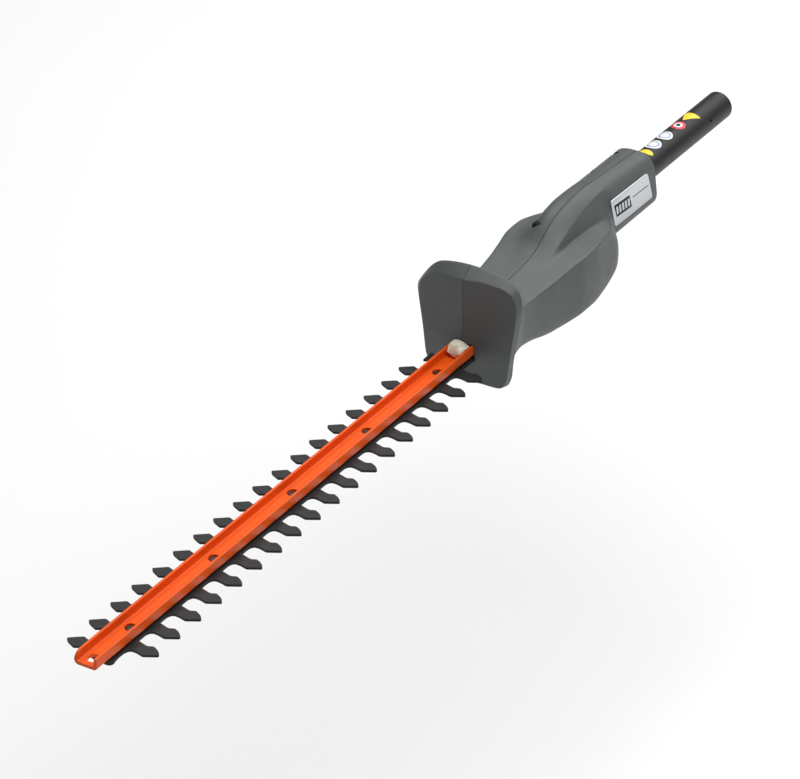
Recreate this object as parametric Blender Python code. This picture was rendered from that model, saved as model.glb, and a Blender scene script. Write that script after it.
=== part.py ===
"""Hedge trimmer attachment for a split-boom power head, as an assembly of separate solids.

The origin is the centre of the boom tube's open end. +Y runs out of that end, so the whole tool
lies at -Y, with the blade tip furthest away. +Z is up, square to the blades. Dimensions are in
millimetres here, and every mesh is scaled to metres when it is made.
"""
import math

import bmesh
import bpy
from mathutils import Vector

MM = 0.001
GAP = 0.3                    # clearance left between two pieces that touch

# Boom tube and the shaft inside it
TUBE_R = 12.7                # 1 inch tube
TUBE_WALL = 1.6
TUBE_FRONT_Y = -204.0
SHAFT_R = 4.0
DRIVE_SQUARE = 2.4           # half the width of the square drive end
DRIVE_END_Y = -2.0
SHAFT_FRONT_Y = -190.0
BUTTON_Y = -38.0
BUTTON_R = 3.6
PIN_HOLE_R = 1.6
PIN_HOLE_Y = -35.4
PIN_HOLE_DEG = 24            # above the tube's right side
COUPLER_Y = (-200.5, -180.5)
SHAFT_BUSHINGS_Y = (-168.0, -104.0)
SHAFT_BUSHING_LONG = 14.0
SPRING_THICK = 0.4
SPRING_HALF = 2.6

# Cutting assembly: heights are z, measured from the tube's axis
TOOTH_PITCH = 23.63
TEETH_PER_SIDE = 18
FRONT_TOOTH_Y = -841.0       # where the teeth's pitch is counted from
# (distance from the centre line, y from the tooth's pitch), from the front flank to the rear flank
RIGHT_TOOTH = [(9.8, -10.8), (12.0, -7.0), (17.4, -6.9), (22.5, -7.7), (32.6, -1.3),
               (28.6, 2.3), (23.4, 4.1), (19.4, 1.8), (9.8, 3.4)]
LEFT_TOOTH = [(9.8, 0.2), (20.3, -0.6), (23.3, -2.8), (30.4, -0.4), (33.0, 1.6),
              (23.5, 9.5), (18.8, 8.2), (12.4, 8.2), (9.8, 12.2)]
NOSE = [(-9.6, -3.6), (-4.0, -4.6), (3.0, -4.8), (8.2, -4.4), (10.4, -2.6), (10.4, 0.0), (9.6, 4.0)]
STUB_TOOTH_X = 23.0          # the rearmost left tooth stops short, inside the guard
RIM_X = 9.8
BLADE_TOP_Z = -38.5
BLADE_THICK = 1.0
BLADE_SPACING = 0.25
LOWER_TOP_Z = BLADE_TOP_Z - BLADE_THICK - BLADE_SPACING
LOWER_BOTTOM_Z = LOWER_TOP_Z - BLADE_THICK
STROKE = TOOTH_PITCH / 4     # each blade moves this far either way
BLADE_HOLES_Y = [-809.7 + 94.5 * i for i in range(5)]
BUSH_R = 4.5
SLOT_R = BUSH_R + GAP
SLOT_HALF = STROKE + 2 * GAP

# Guide bar: an upturned channel
BAR_HALF = 9.25
BAR_WALL = 2.2
BAR_TOP_Z = -27.1
BAR_FLOOR_Z = -34.4
BAR_UNDER_Z = -37.3
BAR_FRONT_Y = -858.4
BAR_REAR_Y = -304.0
BAR_HOLE_R = 3.65
TIP_HOLE_Y = -850.0
BAR_SCREWS_Y = (-334.0, -317.0)
BAR_SCREW_HOLE_R = 2.5
EAR_LONG = 9.5               # the rounded front end of the bar's left wall
EAR_TALL = 6.6

# The felt's length and height, as (y, z of its crown)
FELT_CROWN = [(-413.5, -27.8), (-411.0, -25.2), (-404.0, -24.2), (-397.0, -24.6)]
FELT_DOME = 2.4

# Crank drive: the bevel gears share their apex, where the crank and tube axes cross
CRANK_Y = -267.0
CAM_R = 8.0
GEAR_TEETH = 28
PINION_TEETH = 7
GEAR_PITCH_R = 30.0
PINION_PITCH_R = GEAR_PITCH_R * PINION_TEETH / GEAR_TEETH
TOOTH_INNER = 0.68           # inner end of a bevel tooth, as a share of the outer cone distance
ADDENDUM_DEG = 2.3
DEDENDUM_DEG = 3.6
BEARING_R = 11.0
BEARING_WIDE = 7.0
CASE_R = 34.2
CASE_WALL = 2.0
CASE_TOP_Z = -1.6
CASE_CROWN_R = 18.0          # the case's roof slopes from here down to its rim
CASE_SLOPE = 3.4
CASE_SPLIT_Z = -27.2
COVER_BOTTOM_Z = -31.4
TUNNEL_R = 12.7
SOCKET_R = 14.8              # the tunnel's rear end, round the boom tube
TUNNEL_END_Y = -190.5
YOKE_HALF_X = 18.5
YOKE_HALF_Y = 24.6
YOKE_CORNER = 5.0
YOKE_OPEN_X = STROKE + CAM_R + 2 * GAP
YOKE_OPEN_Y = 2 * STROKE + CAM_R + 2 * GAP
YOKE_CUT = 4.0               # how far the window's corners are cut across

# Housing: two shells that meet at x = 0
SEAM = GAP / 2
SHELL_WALL = 2.6
BLADE_DATUM_Z = -38.5        # housing heights below are given above this plane
GUARD_REAR_Y = -383.5
GUARD_EDGE_Y = -391.0
GUARD_SEAM_Y = -396.5
GUARD_LEAN_X = 42.0          # the front face falls back from its seam up to here
NECK_REAR_Y = -136.0
GRIP_FRONT_Y = -186.0        # the neck holds the boom tube from here back
TUNNEL_BORE_Y = -225.0       # the neck is bored for the gear case's tunnel down to here
SLOT_REAR_Y = -376.0         # the bar and the blades enter the guard in front of this
SCREW_BOSS_R = 3.8
SCREW_SHANK_R = 1.8
SCREW_HEAD_R = 3.2
# (y, height) of each housing screw, which runs along X
HOUSING_SCREWS = [(-185.0, 56.0), (-148.0, 55.6), (-150.0, 19.8), (-360.0, 24.0), (-311.0, 31.0),
                  (-222.0, 5.0)]

# Housing sections from the neck's rear face forward: y, then (x, height) from the crown down to
# the keel: crown, crown edge, shoulder, valley, inner deck, crease, upper side, lower side, sill,
# bilge, keel edge, keel.
SECTIONS = [
    (-136.0, (0, 60), (8, 59.6), (12.5, 57), (17.2, 50), (18.3, 44), (19.2, 38), (20.2, 30),
     (20.8, 25.5), (20.5, 21), (19, 17.2), (16.5, 15.2), (0, 15)),
    (-170.0, (0, 62.3), (8, 61.7), (12.7, 58.8), (17.0, 51.5), (18.2, 45), (19.2, 38), (20.3, 29.5),
     (20.8, 25), (20.5, 21), (19, 17.2), (16.5, 15.3), (0, 15.1)),
    (-202.5, (0, 64.3), (7.8, 63.4), (13, 59.8), (16.9, 52.5), (18.1, 45.5), (19.3, 37.5), (20.4, 29.5),
     (20.8, 25), (20.6, 21), (19.3, 17.3), (16, 15.4), (0, 15.2)),
    (-205.5, (0, 64.6), (7.4, 63.6), (12.4, 60.2), (17.2, 50), (18.1, 44), (19.4, 36), (20.7, 26.5),
     (21.6, 14), (19.8, 9), (17, 5.5), (12, 3.5), (0, 3)),
    (-211.0, (0, 65.2), (6.5, 63.9), (11.8, 61.4), (17.6, 44.5), (19.0, 40), (21.5, 34.5), (27, 24),
     (28.4, 8), (25.5, 1.5), (21, -2.5), (15, -4.5), (0, -5)),
    (-221.0, (0, 65.6), (6.3, 63.8), (11.6, 60.4), (17.4, 41.0), (20.0, 38.8), (27, 35.4), (34.3, 24),
     (34.5, 4), (32, -3), (27, -7.5), (20, -9.5), (0, -10)),
    (-231.0, (0, 65.5), (6.2, 63.0), (11.6, 58.5), (16.8, 40.8), (19.6, 39.8), (30.8, 37.4), (36.5, 24),
     (36.6, 2), (34, -6), (29, -10.4), (22, -12.2), (0, -12.5)),
    (-241.0, (0, 64.9), (6.1, 61.9), (11.8, 56.4), (16.4, 40.8), (19.2, 40.4), (33.4, 39.5), (37.3, 24),
     (37.2, 0), (35, -9), (30.5, -13.6), (24, -15.2), (0, -15.5)),
    (-261.0, (0, 61.3), (6.2, 57.6), (12.9, 51.4), (16.4, 41.0), (19.0, 41.4), (37.4, 41.8), (39, 24),
     (38.6, -1), (37, -11), (32, -16.2), (25, -17.8), (0, -18)),
    (-276.0, (0, 53.6), (6.5, 51.2), (13.8, 47.2), (17.0, 40.8), (19.4, 40.9), (37.6, 41.2), (39, 24),
     (38.6, -1), (37, -11), (32, -16.2), (25, -17.8), (0, -18)),
    (-291.0, (0, 43.2), (6.5, 42.9), (13.0, 42.0), (16.6, 40.0), (19.5, 39.4), (35.2, 39.2), (36.7, 24),
     (36.4, 0), (35, -11), (30, -16.6), (23, -18.2), (0, -18.5)),
    (-311.0, (0, 37.8), (4.2, 37.6), (8.2, 37.2), (12, 36.8), (17, 36.5), (32.6, 35.8), (34, 23),
     (33.7, 1), (32, -10), (27.5, -15.8), (21, -17.4), (0, -17.8)),
    (-341.0, (0, 35.4), (5, 35.3), (9, 35.1), (13, 34.9), (18, 34.6), (30.1, 33.8), (31.4, 22),
     (31.2, 5), (30, -3.5), (26, -8.6), (19, -11.4), (0, -12)),
    (-359.0, (0, 36.2), (5, 36.1), (9.5, 36), (14, 35.8), (19, 35.6), (31.2, 35), (32.2, 23),
     (31.9, 8), (30.8, 0), (27, -5.6), (19, -9.4), (0, -10)),
    (-368.5, (0, 41.5), (6, 41.4), (12, 41.2), (17.5, 41), (23, 40.8), (36, 40.4), (36.4, 26),
     (33.6, 8), (31.6, -2), (28, -8), (21, -11.2), (0, -11.8)),
    (-376.0, (0, 50.5), (8, 50.3), (15, 50), (21.5, 49.6), (28, 49), (40.2, 47), (39.6, 30),
     (35.2, 8), (33, -4), (29, -10.5), (23, -13.6), (0, -14.2)),
    (-381.0, (0, 62), (12, 61.8), (21.5, 61.2), (28.5, 60), (35, 58), (44.4, 53), (43.4, 33),
     (37.4, 8), (35.2, -7), (32, -14.4), (26, -18), (0, -18.6)),
]
# The guard's rear outline and its front face, from the crown round to the keel
REAR_RIGHT = [(0, 77.3), (14.7, 77.6), (29.4, 76), (37.8, 73.2), (44.6, 68), (48.0, 57.2), (46.6, 45),
              (42.8, 20), (39.0, 0), (38.4, -14), (33.6, -25), (0, -24.4)]
REAR_LEFT = [(0, 77.3), (9.8, 76.3), (21.6, 74), (30.2, 71), (37.6, 64.2), (46.2, 51.6), (50.8, 43.0),
             (46.2, 14), (43.8, -6.8), (41.6, -18), (33, -24.8), (0, -24.4)]
FACE_RIGHT = [(0, 70.2), (14.7, 71.8), (26, 71.4), (35, 70.4), (42.4, 66.8), (46.2, 56.5), (45.0, 40),
              (41.0, 12), (39.2, -4), (37.6, -14.5), (33.4, -22.4), (0, -22)]
FACE_LEFT = [(0, 70.2), (8.9, 68.6), (20, 66.6), (30.5, 64.2), (38.2, 58.4), (44.4, 50.0), (45.2, 36),
             (41.0, 10), (39.4, -6), (38.2, -16), (32, -22), (0, -22)]
LEFT_NECK = {2: (16.6, 57), 3: (20.1, 51.5), 4: (20.5, 44.5), 5: (20.6, 38), 6: (20.8, 30)}
# The left shell's shoulder is fuller, and its crown stays flat past the neck: key points by station
LEFT_HUMP = {
    -136.0: LEFT_NECK,
    -170.0: LEFT_NECK,
    -202.5: LEFT_NECK,
    -205.5: {1: (8.4, 63.7), 2: (16.4, 57.3), 3: (20.1, 50.5), 4: (20.8, 43), 5: (21.2, 36)},
    -211.0: {1: (9.2, 64.0), 2: (15.6, 58.4), 3: (19.8, 48.5), 4: (21.0, 42), 5: (23.5, 35.5)},
    -221.0: {1: (9.8, 64.4), 2: (14.8, 59.8), 3: (19.0, 46.5), 4: (21.6, 40.4), 5: (28, 36.4)},
    -231.0: {1: (9.8, 64.5), 2: (14.6, 60.4), 3: (18.8, 46.5), 4: (22.4, 40.8)},
    -241.0: {1: (9.8, 64.4), 2: (14.6, 60.4), 3: (19.2, 47.0), 4: (24.4, 41.4)},
    -261.0: {1: (9.4, 61.2), 2: (14.4, 57.0), 3: (20.4, 47.0), 4: (27.0, 42.6)},
    -276.0: {1: (8.4, 52.8), 2: (14.4, 49.0), 3: (21.0, 44.4), 4: (28.0, 42.0)},
    -291.0: {1: (7.0, 43.1), 2: (13.4, 42.2), 3: (19.6, 41.0), 4: (26.4, 40.2)},
}

# The label's corners as (y, height), on the neck's right side: it is LABEL_X out at LABEL_FOOT up
LABEL_CORNERS = [(-208.0, 51.6), (-150.5, 50.4), (-146.0, 26.2), (-204.8, 27.0)]
LABEL_X = 20.75
LABEL_FOOT = 25.0
LABEL_SLOPE = 0.128

HOUSING_GREY = (0.135, 0.150, 0.140)
BAR_ORANGE = (0.90, 0.13, 0.02)
BLADE_STEEL = (0.055, 0.058, 0.062)
BRIGHT_STEEL = (0.55, 0.55, 0.56)
CAST_ALUMINIUM = (0.50, 0.51, 0.52)
TUBE_BLACK = (0.012, 0.012, 0.013)
FELT_BEIGE = (0.62, 0.55, 0.40)
LABEL_SILVER = (0.62, 0.64, 0.66)
BUSH_BRONZE = (0.45, 0.30, 0.14)


# ---------------------------------------------------------------- building blocks

def material(name, colour, roughness, metallic):
    made = bpy.data.materials.get(name)
    if made is None:
        made = bpy.data.materials.new(name)
        made.use_nodes = True
        shader = made.node_tree.nodes["Principled BSDF"]
        shader.inputs["Base Color"].default_value = (*colour, 1.0)
        shader.inputs["Roughness"].default_value = roughness
        shader.inputs["Metallic"].default_value = metallic
    return made


def add_object(name, bm, finish=None, origin=(0, 0, 0), sharp_deg=32):
    """Makes an object from a bmesh in millimetres, with its origin at the given point."""
    bmesh.ops.recalc_face_normals(bm, faces=bm.faces)
    bmesh.ops.translate(bm, verts=bm.verts, vec=-Vector(origin))
    bmesh.ops.scale(bm, verts=bm.verts, vec=(MM, MM, MM))
    mesh = bpy.data.meshes.new(name)
    bm.to_mesh(mesh)
    bm.free()
    mesh.shade_smooth()
    mesh.set_sharp_from_angle(angle=math.radians(sharp_deg))
    made = bpy.data.objects.new(name, mesh)
    made.location = Vector(origin) * MM
    bpy.context.scene.collection.objects.link(made)
    if finish is not None:
        mesh.materials.append(finish)
    return made


def add_cutter(name, bm):
    made = add_object(name, bm)
    made.hide_render = True
    made.display_type = "WIRE"
    return made


def boolean(target, other, operation="DIFFERENCE"):
    step = target.modifiers.new(other.name, "BOOLEAN")
    step.operation = operation
    step.solver = "EXACT"
    step.object = other


def loft(sections, bm=None):
    """A closed solid through sections of equally many points, with flat ends."""
    bm = bm or bmesh.new()
    rings = [[bm.verts.new(point) for point in section] for section in sections]
    count = len(rings[0])
    for near, far in zip(rings, rings[1:]):
        for i in range(count):
            j = (i + 1) % count
            bm.faces.new((near[i], near[j], far[j], far[i]))
    bm.faces.new(rings[0][::-1])
    bm.faces.new(rings[-1])
    return bm


def prism(outline, low, high, bm=None):
    """An (x, y) outline carried from z = low to z = high."""
    return loft([[(x, y, z) for x, y in outline] for z in (low, high)], bm)


def box(low, high, bm=None):
    outline = [(low[0], low[1]), (high[0], low[1]), (high[0], high[1]), (low[0], high[1])]
    return prism(outline, low[2], high[2], bm)


def place(axis, centre, radius, along, angle):
    """A point at a radius and angle round an axis that runs along X, Y or Z through a centre."""
    u = radius * math.cos(angle)
    v = radius * math.sin(angle)
    offset = {"X": (along, u, v), "Y": (v, along, u), "Z": (u, v, along)}[axis]
    return Vector(centre) + Vector(offset)


def lathe(profile, axis, centre=(0, 0, 0), segments=24, closed=False, bm=None):
    """Turns (radius, along) points round an axis. A closed profile makes a ring."""
    bm = bm or bmesh.new()
    rings = []
    for radius, along in profile:
        if radius == 0:
            rings.append([bm.verts.new(place(axis, centre, 0, along, 0))] * segments)
        else:
            turn = [2 * math.pi * i / segments for i in range(segments)]
            rings.append([bm.verts.new(place(axis, centre, radius, along, a)) for a in turn])
    pairs = list(zip(rings, rings[1:]))
    if closed:
        pairs.append((rings[-1], rings[0]))
    for near, far in pairs:
        for i in range(segments):
            j = (i + 1) % segments
            corners = []
            for vert in (near[i], near[j], far[j], far[i]):
                if vert not in corners:
                    corners.append(vert)
            bm.faces.new(corners)
    return bm


def rod(axis, centre, radius, low, high, segments=24, bm=None):
    return lathe([(0, low), (radius, low), (radius, high), (0, high)], axis, centre, segments, bm=bm)


def ring(axis, centre, inner, outer, low, high, segments=24):
    profile = [(inner, low), (outer, low), (outer, high), (inner, high)]
    return lathe(profile, axis, centre, segments, closed=True)


def slot_outline(centre_y, half_length, radius, steps=5):
    """A round-ended slot along Y on the centre line."""
    points = []
    for end in (-1, 1):
        for i in range(steps + 1):
            angle = math.pi * (i / steps) + (math.pi if end < 0 else 0)
            points.append((radius * math.cos(angle), centre_y + end * half_length + radius * math.sin(angle)))
    return points


# ---------------------------------------------------------------- finishes

def finishes():
    return {
        "housing": material("housing_plastic", HOUSING_GREY, 0.55, 0.0),
        "bar": material("bar_paint", BAR_ORANGE, 0.30, 0.0),
        "blade": material("blade_steel", BLADE_STEEL, 0.42, 0.85),
        "steel": material("bright_steel", BRIGHT_STEEL, 0.30, 1.0),
        "case": material("cast_aluminium", CAST_ALUMINIUM, 0.55, 1.0),
        "tube": material("tube_paint", TUBE_BLACK, 0.25, 0.0),
        "felt": material("felt", FELT_BEIGE, 0.95, 0.0),
        "label": material("label_film", LABEL_SILVER, 0.35, 0.3),
        "bronze": material("bronze", BUSH_BRONZE, 0.40, 1.0),
    }


# ---------------------------------------------------------------- blades

def tooth(side, pitch_y, length=None):
    """One tooth as a run of (x, y), from its front flank to its rear flank, cut off at a length."""
    made = []
    for x, y in RIGHT_TOOTH if side > 0 else LEFT_TOOTH:
        made.append((side * min(x, length or x), pitch_y + y))
    return made


def blade_outline():
    """One blade seen from above: nose, right teeth, yoke frame, left teeth."""
    points = [(x, FRONT_TOOTH_Y + y) for x, y in NOSE]
    for i in range(1, TEETH_PER_SIDE + 1):
        points += tooth(1, FRONT_TOOTH_Y + i * TOOTH_PITCH)
    yoke = [(RIM_X, -YOKE_HALF_Y - 8), (YOKE_HALF_X - YOKE_CORNER, -YOKE_HALF_Y),
            (YOKE_HALF_X, YOKE_CORNER - YOKE_HALF_Y), (YOKE_HALF_X, YOKE_HALF_Y - YOKE_CORNER),
            (YOKE_HALF_X - YOKE_CORNER, YOKE_HALF_Y)]
    points += [(x, CRANK_Y + y) for x, y in yoke]
    points += [(-x, CRANK_Y + y) for x, y in reversed(yoke)]
    points += reversed(tooth(-1, FRONT_TOOTH_Y + TEETH_PER_SIDE * TOOTH_PITCH, STUB_TOOTH_X))
    for i in reversed(range(1, TEETH_PER_SIDE)):
        points += reversed(tooth(-1, FRONT_TOOTH_Y + i * TOOTH_PITCH))
    points += reversed(tooth(-1, FRONT_TOOTH_Y)[1:])
    return points


def blade_openings():
    """The bushing slots and the yoke's window, as one cutter."""
    low = LOWER_BOTTOM_Z - 2
    high = BLADE_TOP_Z + 2
    bm = bmesh.new()
    for y in BLADE_HOLES_Y:
        prism(slot_outline(y, SLOT_HALF, SLOT_R), low, high, bm)
    half = [(YOKE_OPEN_X - YOKE_CUT, -YOKE_OPEN_Y), (YOKE_OPEN_X, YOKE_CUT - YOKE_OPEN_Y),
            (YOKE_OPEN_X, YOKE_OPEN_Y - YOKE_CUT), (YOKE_OPEN_X - YOKE_CUT, YOKE_OPEN_Y)]
    window = half + [(-x, y) for x, y in reversed(half)]
    prism([(x, CRANK_Y + y) for x, y in window], low, high, bm)
    return add_cutter("blade_openings", bm)


def add_blades(finish):
    openings = blade_openings()
    outline = blade_outline()
    for name, top in (("upper_blade", BLADE_TOP_Z), ("lower_blade", LOWER_TOP_Z)):
        centre = (0, CRANK_Y, top - BLADE_THICK / 2)
        blade = add_object(name, prism(outline, top - BLADE_THICK, top), finish, centre)
        boolean(blade, openings)


# ---------------------------------------------------------------- guide bar and what holds the blades

def guide_bar_section():
    """Half of the channel's outside, from the middle of its floor out to its lip."""
    bend = 3.5
    steps = 4
    points = [(0.0, BAR_UNDER_Z)]
    for i in range(steps + 1):
        angle = -math.pi / 2 + (math.pi / 2) * i / steps
        points.append((BAR_HALF - bend + bend * math.cos(angle), BAR_UNDER_Z + bend + bend * math.sin(angle)))
    points.append((BAR_HALF, BAR_TOP_Z))
    return points


def bar_ear():
    """What is taken off the left wall's front end, as (y, z): everything above a quarter ellipse."""
    above = BAR_TOP_Z + 3
    points = [(BAR_FRONT_Y - 3, above), (BAR_FRONT_Y - 3, BAR_TOP_Z - EAR_TALL)]
    steps = 8
    for i in range(steps + 1):
        angle = math.pi / 2 * i / steps
        y = BAR_FRONT_Y + EAR_LONG * (1 - math.cos(angle))
        points.append((y, BAR_TOP_Z - EAR_TALL * (1 - math.sin(angle))))
    points.append((BAR_FRONT_Y + EAR_LONG, above))
    return points


def add_guide_bar(finish):
    """An upturned channel, open at its front end, where its left wall is rounded off."""
    half = guide_bar_section()
    outline = half + [(-x, z) for x, z in reversed(half[1:])]
    sections = [[(x, y, z) for x, z in outline] for y in (BAR_FRONT_Y, BAR_REAR_Y)]
    bar = add_object("guide_bar", loft(sections), finish)

    inner = BAR_HALF - BAR_WALL
    channel = box((-inner, BAR_FRONT_Y - 2, BAR_FLOOR_Z), (inner, BAR_REAR_Y + 5, BAR_TOP_Z + 2))
    boolean(bar, add_cutter("bar_channel", channel))
    ear = [[(x, y, z) for y, z in bar_ear()] for x in (-BAR_HALF - 2, 1 - inner)]
    boolean(bar, add_cutter("bar_ear", loft(ear)))

    low = BAR_UNDER_Z - 2
    high = BAR_FLOOR_Z + 2
    holes = bmesh.new()
    for y in [TIP_HOLE_Y] + BLADE_HOLES_Y:
        rod("Z", (0, y, 0), BAR_HOLE_R, low, high, 16, holes)
    for y in BAR_SCREWS_Y:
        rod("Z", (0, y, 0), BAR_SCREW_HOLE_R, low, high, 12, holes)
    boolean(bar, add_cutter("bar_holes", holes))


def add_blade_fasteners(steel):
    """At each station: a flanged bushing in the blades' slots, a washer below, and a screw."""
    flange_top = BAR_UNDER_Z - GAP
    flange_bottom = BLADE_TOP_Z + GAP
    washer_top = LOWER_BOTTOM_Z - GAP
    washer_bottom = washer_top - 1.1
    head_top = washer_bottom - GAP
    head_bottom = head_top - 2.6
    bore = BAR_HOLE_R - 0.1
    bush = [(bore, flange_top), (6.6, flange_top), (6.6, flange_bottom), (BUSH_R, flange_bottom),
            (BUSH_R, LOWER_BOTTOM_Z), (bore, LOWER_BOTTOM_Z)]
    screw = [(0, BAR_FLOOR_Z - 1.0), (3.2, BAR_FLOOR_Z - 1.0), (3.2, head_top), (5.6, head_top),
             (5.6, head_bottom + 0.8), (4.6, head_bottom), (2.4, head_bottom), (2.2, head_bottom + 1.6),
             (0, head_bottom + 1.6)]
    for i, y in enumerate(BLADE_HOLES_Y, start=1):
        centre = (0, y, 0)
        add_object(f"blade_bushing_{i}", lathe(bush, "Z", centre, 12, closed=True), steel)
        add_object(f"blade_washer_{i}", ring("Z", centre, bore, 7.4, washer_bottom, washer_top, 12), steel)
        add_object(f"blade_screw_{i}", lathe(screw, "Z", centre, 10), steel)


def add_felt_wiper(finish):
    """The felt that fills the channel where it enters the guard, domed along its top."""
    half = BAR_HALF - BAR_WALL - GAP
    low = BAR_FLOOR_Z + GAP
    sections = []
    for y, top in FELT_CROWN:
        arch = []
        for i in range(7):
            angle = math.pi * i / 6
            arch.append((half * math.cos(angle), top - FELT_DOME + FELT_DOME * math.sin(angle)))
        sections.append([(-half, y, low), (half, y, low)] + [(x, y, z) for x, z in arch])
    add_object("felt_wiper", loft(sections), finish)


# ---------------------------------------------------------------- gears and crank

def bevel_ring(teeth, pitch_r, pitch_deg, phase, reach, thickness):
    """Rings of points round a bevel gear's toothed face, each a list over the teeth.

    Every tooth has four points: two at its root and two at its tip. Points are (radius, drop,
    angle), where drop is the distance from the apex along the gear's axis.
    """
    cone = pitch_r / math.sin(math.radians(pitch_deg))
    rings = []
    for share in (1.0, TOOTH_INNER):
        points = []
        for i in range(teeth):
            middle = phase + 2 * math.pi * i / teeth
            step = 2 * math.pi / teeth
            for offset, cut in ((-0.5 * thickness[0], -1), (-0.5 * thickness[1], 1),
                                (0.5 * thickness[1], 1), (0.5 * thickness[0], -1)):
                lift = reach[0] if cut > 0 else -reach[1]
                angle = math.radians(pitch_deg + lift)
                points.append((share * cone * math.sin(angle), share * cone * math.cos(angle),
                               middle + offset * step))
        rings.append(points)
    return rings


def bevel_solid(rings, outer_drop, inner_drop, outer_r, bore_r, axis, centre, sign):
    """A toothed cone closed by a flat back and a flat web round a bore."""
    outer, inner = rings
    angles = [a for _, _, a in outer]
    bottom = [(outer_r, outer_drop, a) for a in angles]
    bottom_bore = [(bore_r, outer_drop, a) for a in angles]
    top_bore = [(bore_r, inner_drop, a) for a in angles]
    top_web = [(min(r for r, _, _ in inner) - 0.8, inner_drop, a) for a in angles]
    bm = bmesh.new()
    loops = []
    for run in (outer, inner, top_web, top_bore, bottom_bore, bottom):
        loops.append([bm.verts.new(place(axis, centre, r, sign * d, a)) for r, d, a in run])
    count = len(angles)
    for near, far in zip(loops, loops[1:] + loops[:1]):
        for i in range(count):
            j = (i + 1) % count
            bm.faces.new((near[i], near[j], far[j], far[i]))
    return bm


def add_gears(steel):
    apex = (0, CRANK_Y, 0)
    pinion_deg = math.degrees(math.atan(PINION_TEETH / GEAR_TEETH))
    reach = (ADDENDUM_DEG, DEDENDUM_DEG)

    gear_rings = bevel_ring(GEAR_TEETH, GEAR_PITCH_R, 90 - pinion_deg, math.pi / 2, reach, (0.66, 0.22))
    gear = bevel_solid(gear_rings, 14.4, 11.2, 31.6, SHAFT_R + GAP, "Z", apex, -1)
    add_object("bevel_gear", gear, steel, apex)

    half_pitch = math.pi / PINION_TEETH
    pinion_phase = half_pitch + math.pi
    pinion_rings = bevel_ring(PINION_TEETH, PINION_PITCH_R, pinion_deg, pinion_phase, reach, (0.60, 0.22))
    head = bevel_solid(pinion_rings, 31.2, 21.6, 7.0, 1.6, "Y", apex, 1)
    pinion = add_object("pinion_shaft", head, steel, (0, 0, 0))
    stem = [(0, 25.0), (SHAFT_R, 25.0), (SHAFT_R, 30.6), (5.6, 30.6), (5.6, 36.0), (SHAFT_R, 36.0),
            (SHAFT_R, 76.0), (0, 76.0)]
    boolean(pinion, add_cutter("pinion_stem", lathe(stem, "Y", apex, 20)), "UNION")


def add_crankshaft(steel):
    """A shaft with two cams set half a turn apart, at mid-stroke to either side."""
    profile = [(0, -3.0), (SHAFT_R, -3.0), (SHAFT_R, -14.8), (6.4, -14.8), (6.4, -22.6), (SHAFT_R, -22.6),
               (SHAFT_R, -38.0), (0, -38.0)]
    crank = add_object("crankshaft", lathe(profile, "Z", (0, CRANK_Y, 0), 20), steel, (0, CRANK_Y, 0))
    upper = rod("Z", (STROKE, CRANK_Y, 0), CAM_R, LOWER_TOP_Z, -36.4, 24)
    lower = rod("Z", (-STROKE, CRANK_Y, 0), CAM_R, LOWER_BOTTOM_Z - 1.2, LOWER_TOP_Z + 0.15, 24)
    boolean(crank, add_cutter("cam_up", upper), "UNION")
    boolean(crank, add_cutter("cam_down", lower), "UNION")


def add_bearings(steel):
    bore = SHAFT_R + GAP
    crank = (0, CRANK_Y, 0)
    for name, low in (("crank_bearing_upper", -9.9), ("crank_bearing_lower", -30.2)):
        add_object(name, ring("Z", crank, bore, BEARING_R, low, low + BEARING_WIDE), steel)
    for name, low in (("pinion_bearing_front", 36.6), ("pinion_bearing_rear", 54.6)):
        add_object(name, ring("Y", crank, bore, BEARING_R, low, low + BEARING_WIDE), steel)


# ---------------------------------------------------------------- gear case

def add_gear_case(alloy):
    """The upper casting: a cup over the bevel gear, with a tunnel back to the boom tube."""
    centre = (0, CRANK_Y, 0)
    seat = BEARING_R + GAP
    rim_z = CASE_TOP_Z - CASE_SLOPE
    inner_r = CASE_R - CASE_WALL
    cup = [(0, -0.6), (seat + 1.6, -0.6), (CASE_CROWN_R, CASE_TOP_Z), (CASE_R, rim_z), (CASE_R, CASE_SPLIT_Z),
           (inner_r, CASE_SPLIT_Z), (inner_r, rim_z - 1.2), (CASE_CROWN_R, CASE_TOP_Z - 1.7),
           (seat + 1.6, CASE_TOP_Z - 1.7), (seat + 1.6, -9.6), (seat, -9.6), (seat, -2.6), (0, -2.6)]
    case = add_object("gear_case", lathe(cup, "Z", centre, 32), alloy)

    socket = TUBE_FRONT_Y - CRANK_Y - GAP
    end = TUNNEL_END_Y - CRANK_Y
    tunnel = [(0, 17.0), (TUNNEL_R, 17.0), (TUNNEL_R, socket - 8), (SOCKET_R, socket - 6), (SOCKET_R, end),
              (0, end)]
    boolean(case, add_cutter("case_tunnel", lathe(tunnel, "Y", centre, 32)), "UNION")

    grip = TUBE_R + GAP
    bore = [(0, 18.4), (10.4, 18.4), (10.4, 36.2), (seat, 36.2), (seat, socket), (grip, socket),
            (grip, end + 2), (0, end + 2)]
    boolean(case, add_cutter("case_bore", lathe(bore, "Y", centre, 32)))
    sweep = [(0, CASE_SPLIT_Z - 2), (inner_r + 0.1, CASE_SPLIT_Z - 2), (inner_r + 0.1, rim_z - 1.3),
             (CASE_CROWN_R, CASE_TOP_Z - 1.8), (seat + 2.1, CASE_TOP_Z - 1.8), (seat + 2.1, -9.7), (0, -9.7)]
    boolean(case, add_cutter("case_cavity", lathe(sweep, "Z", centre, 32)))


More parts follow.
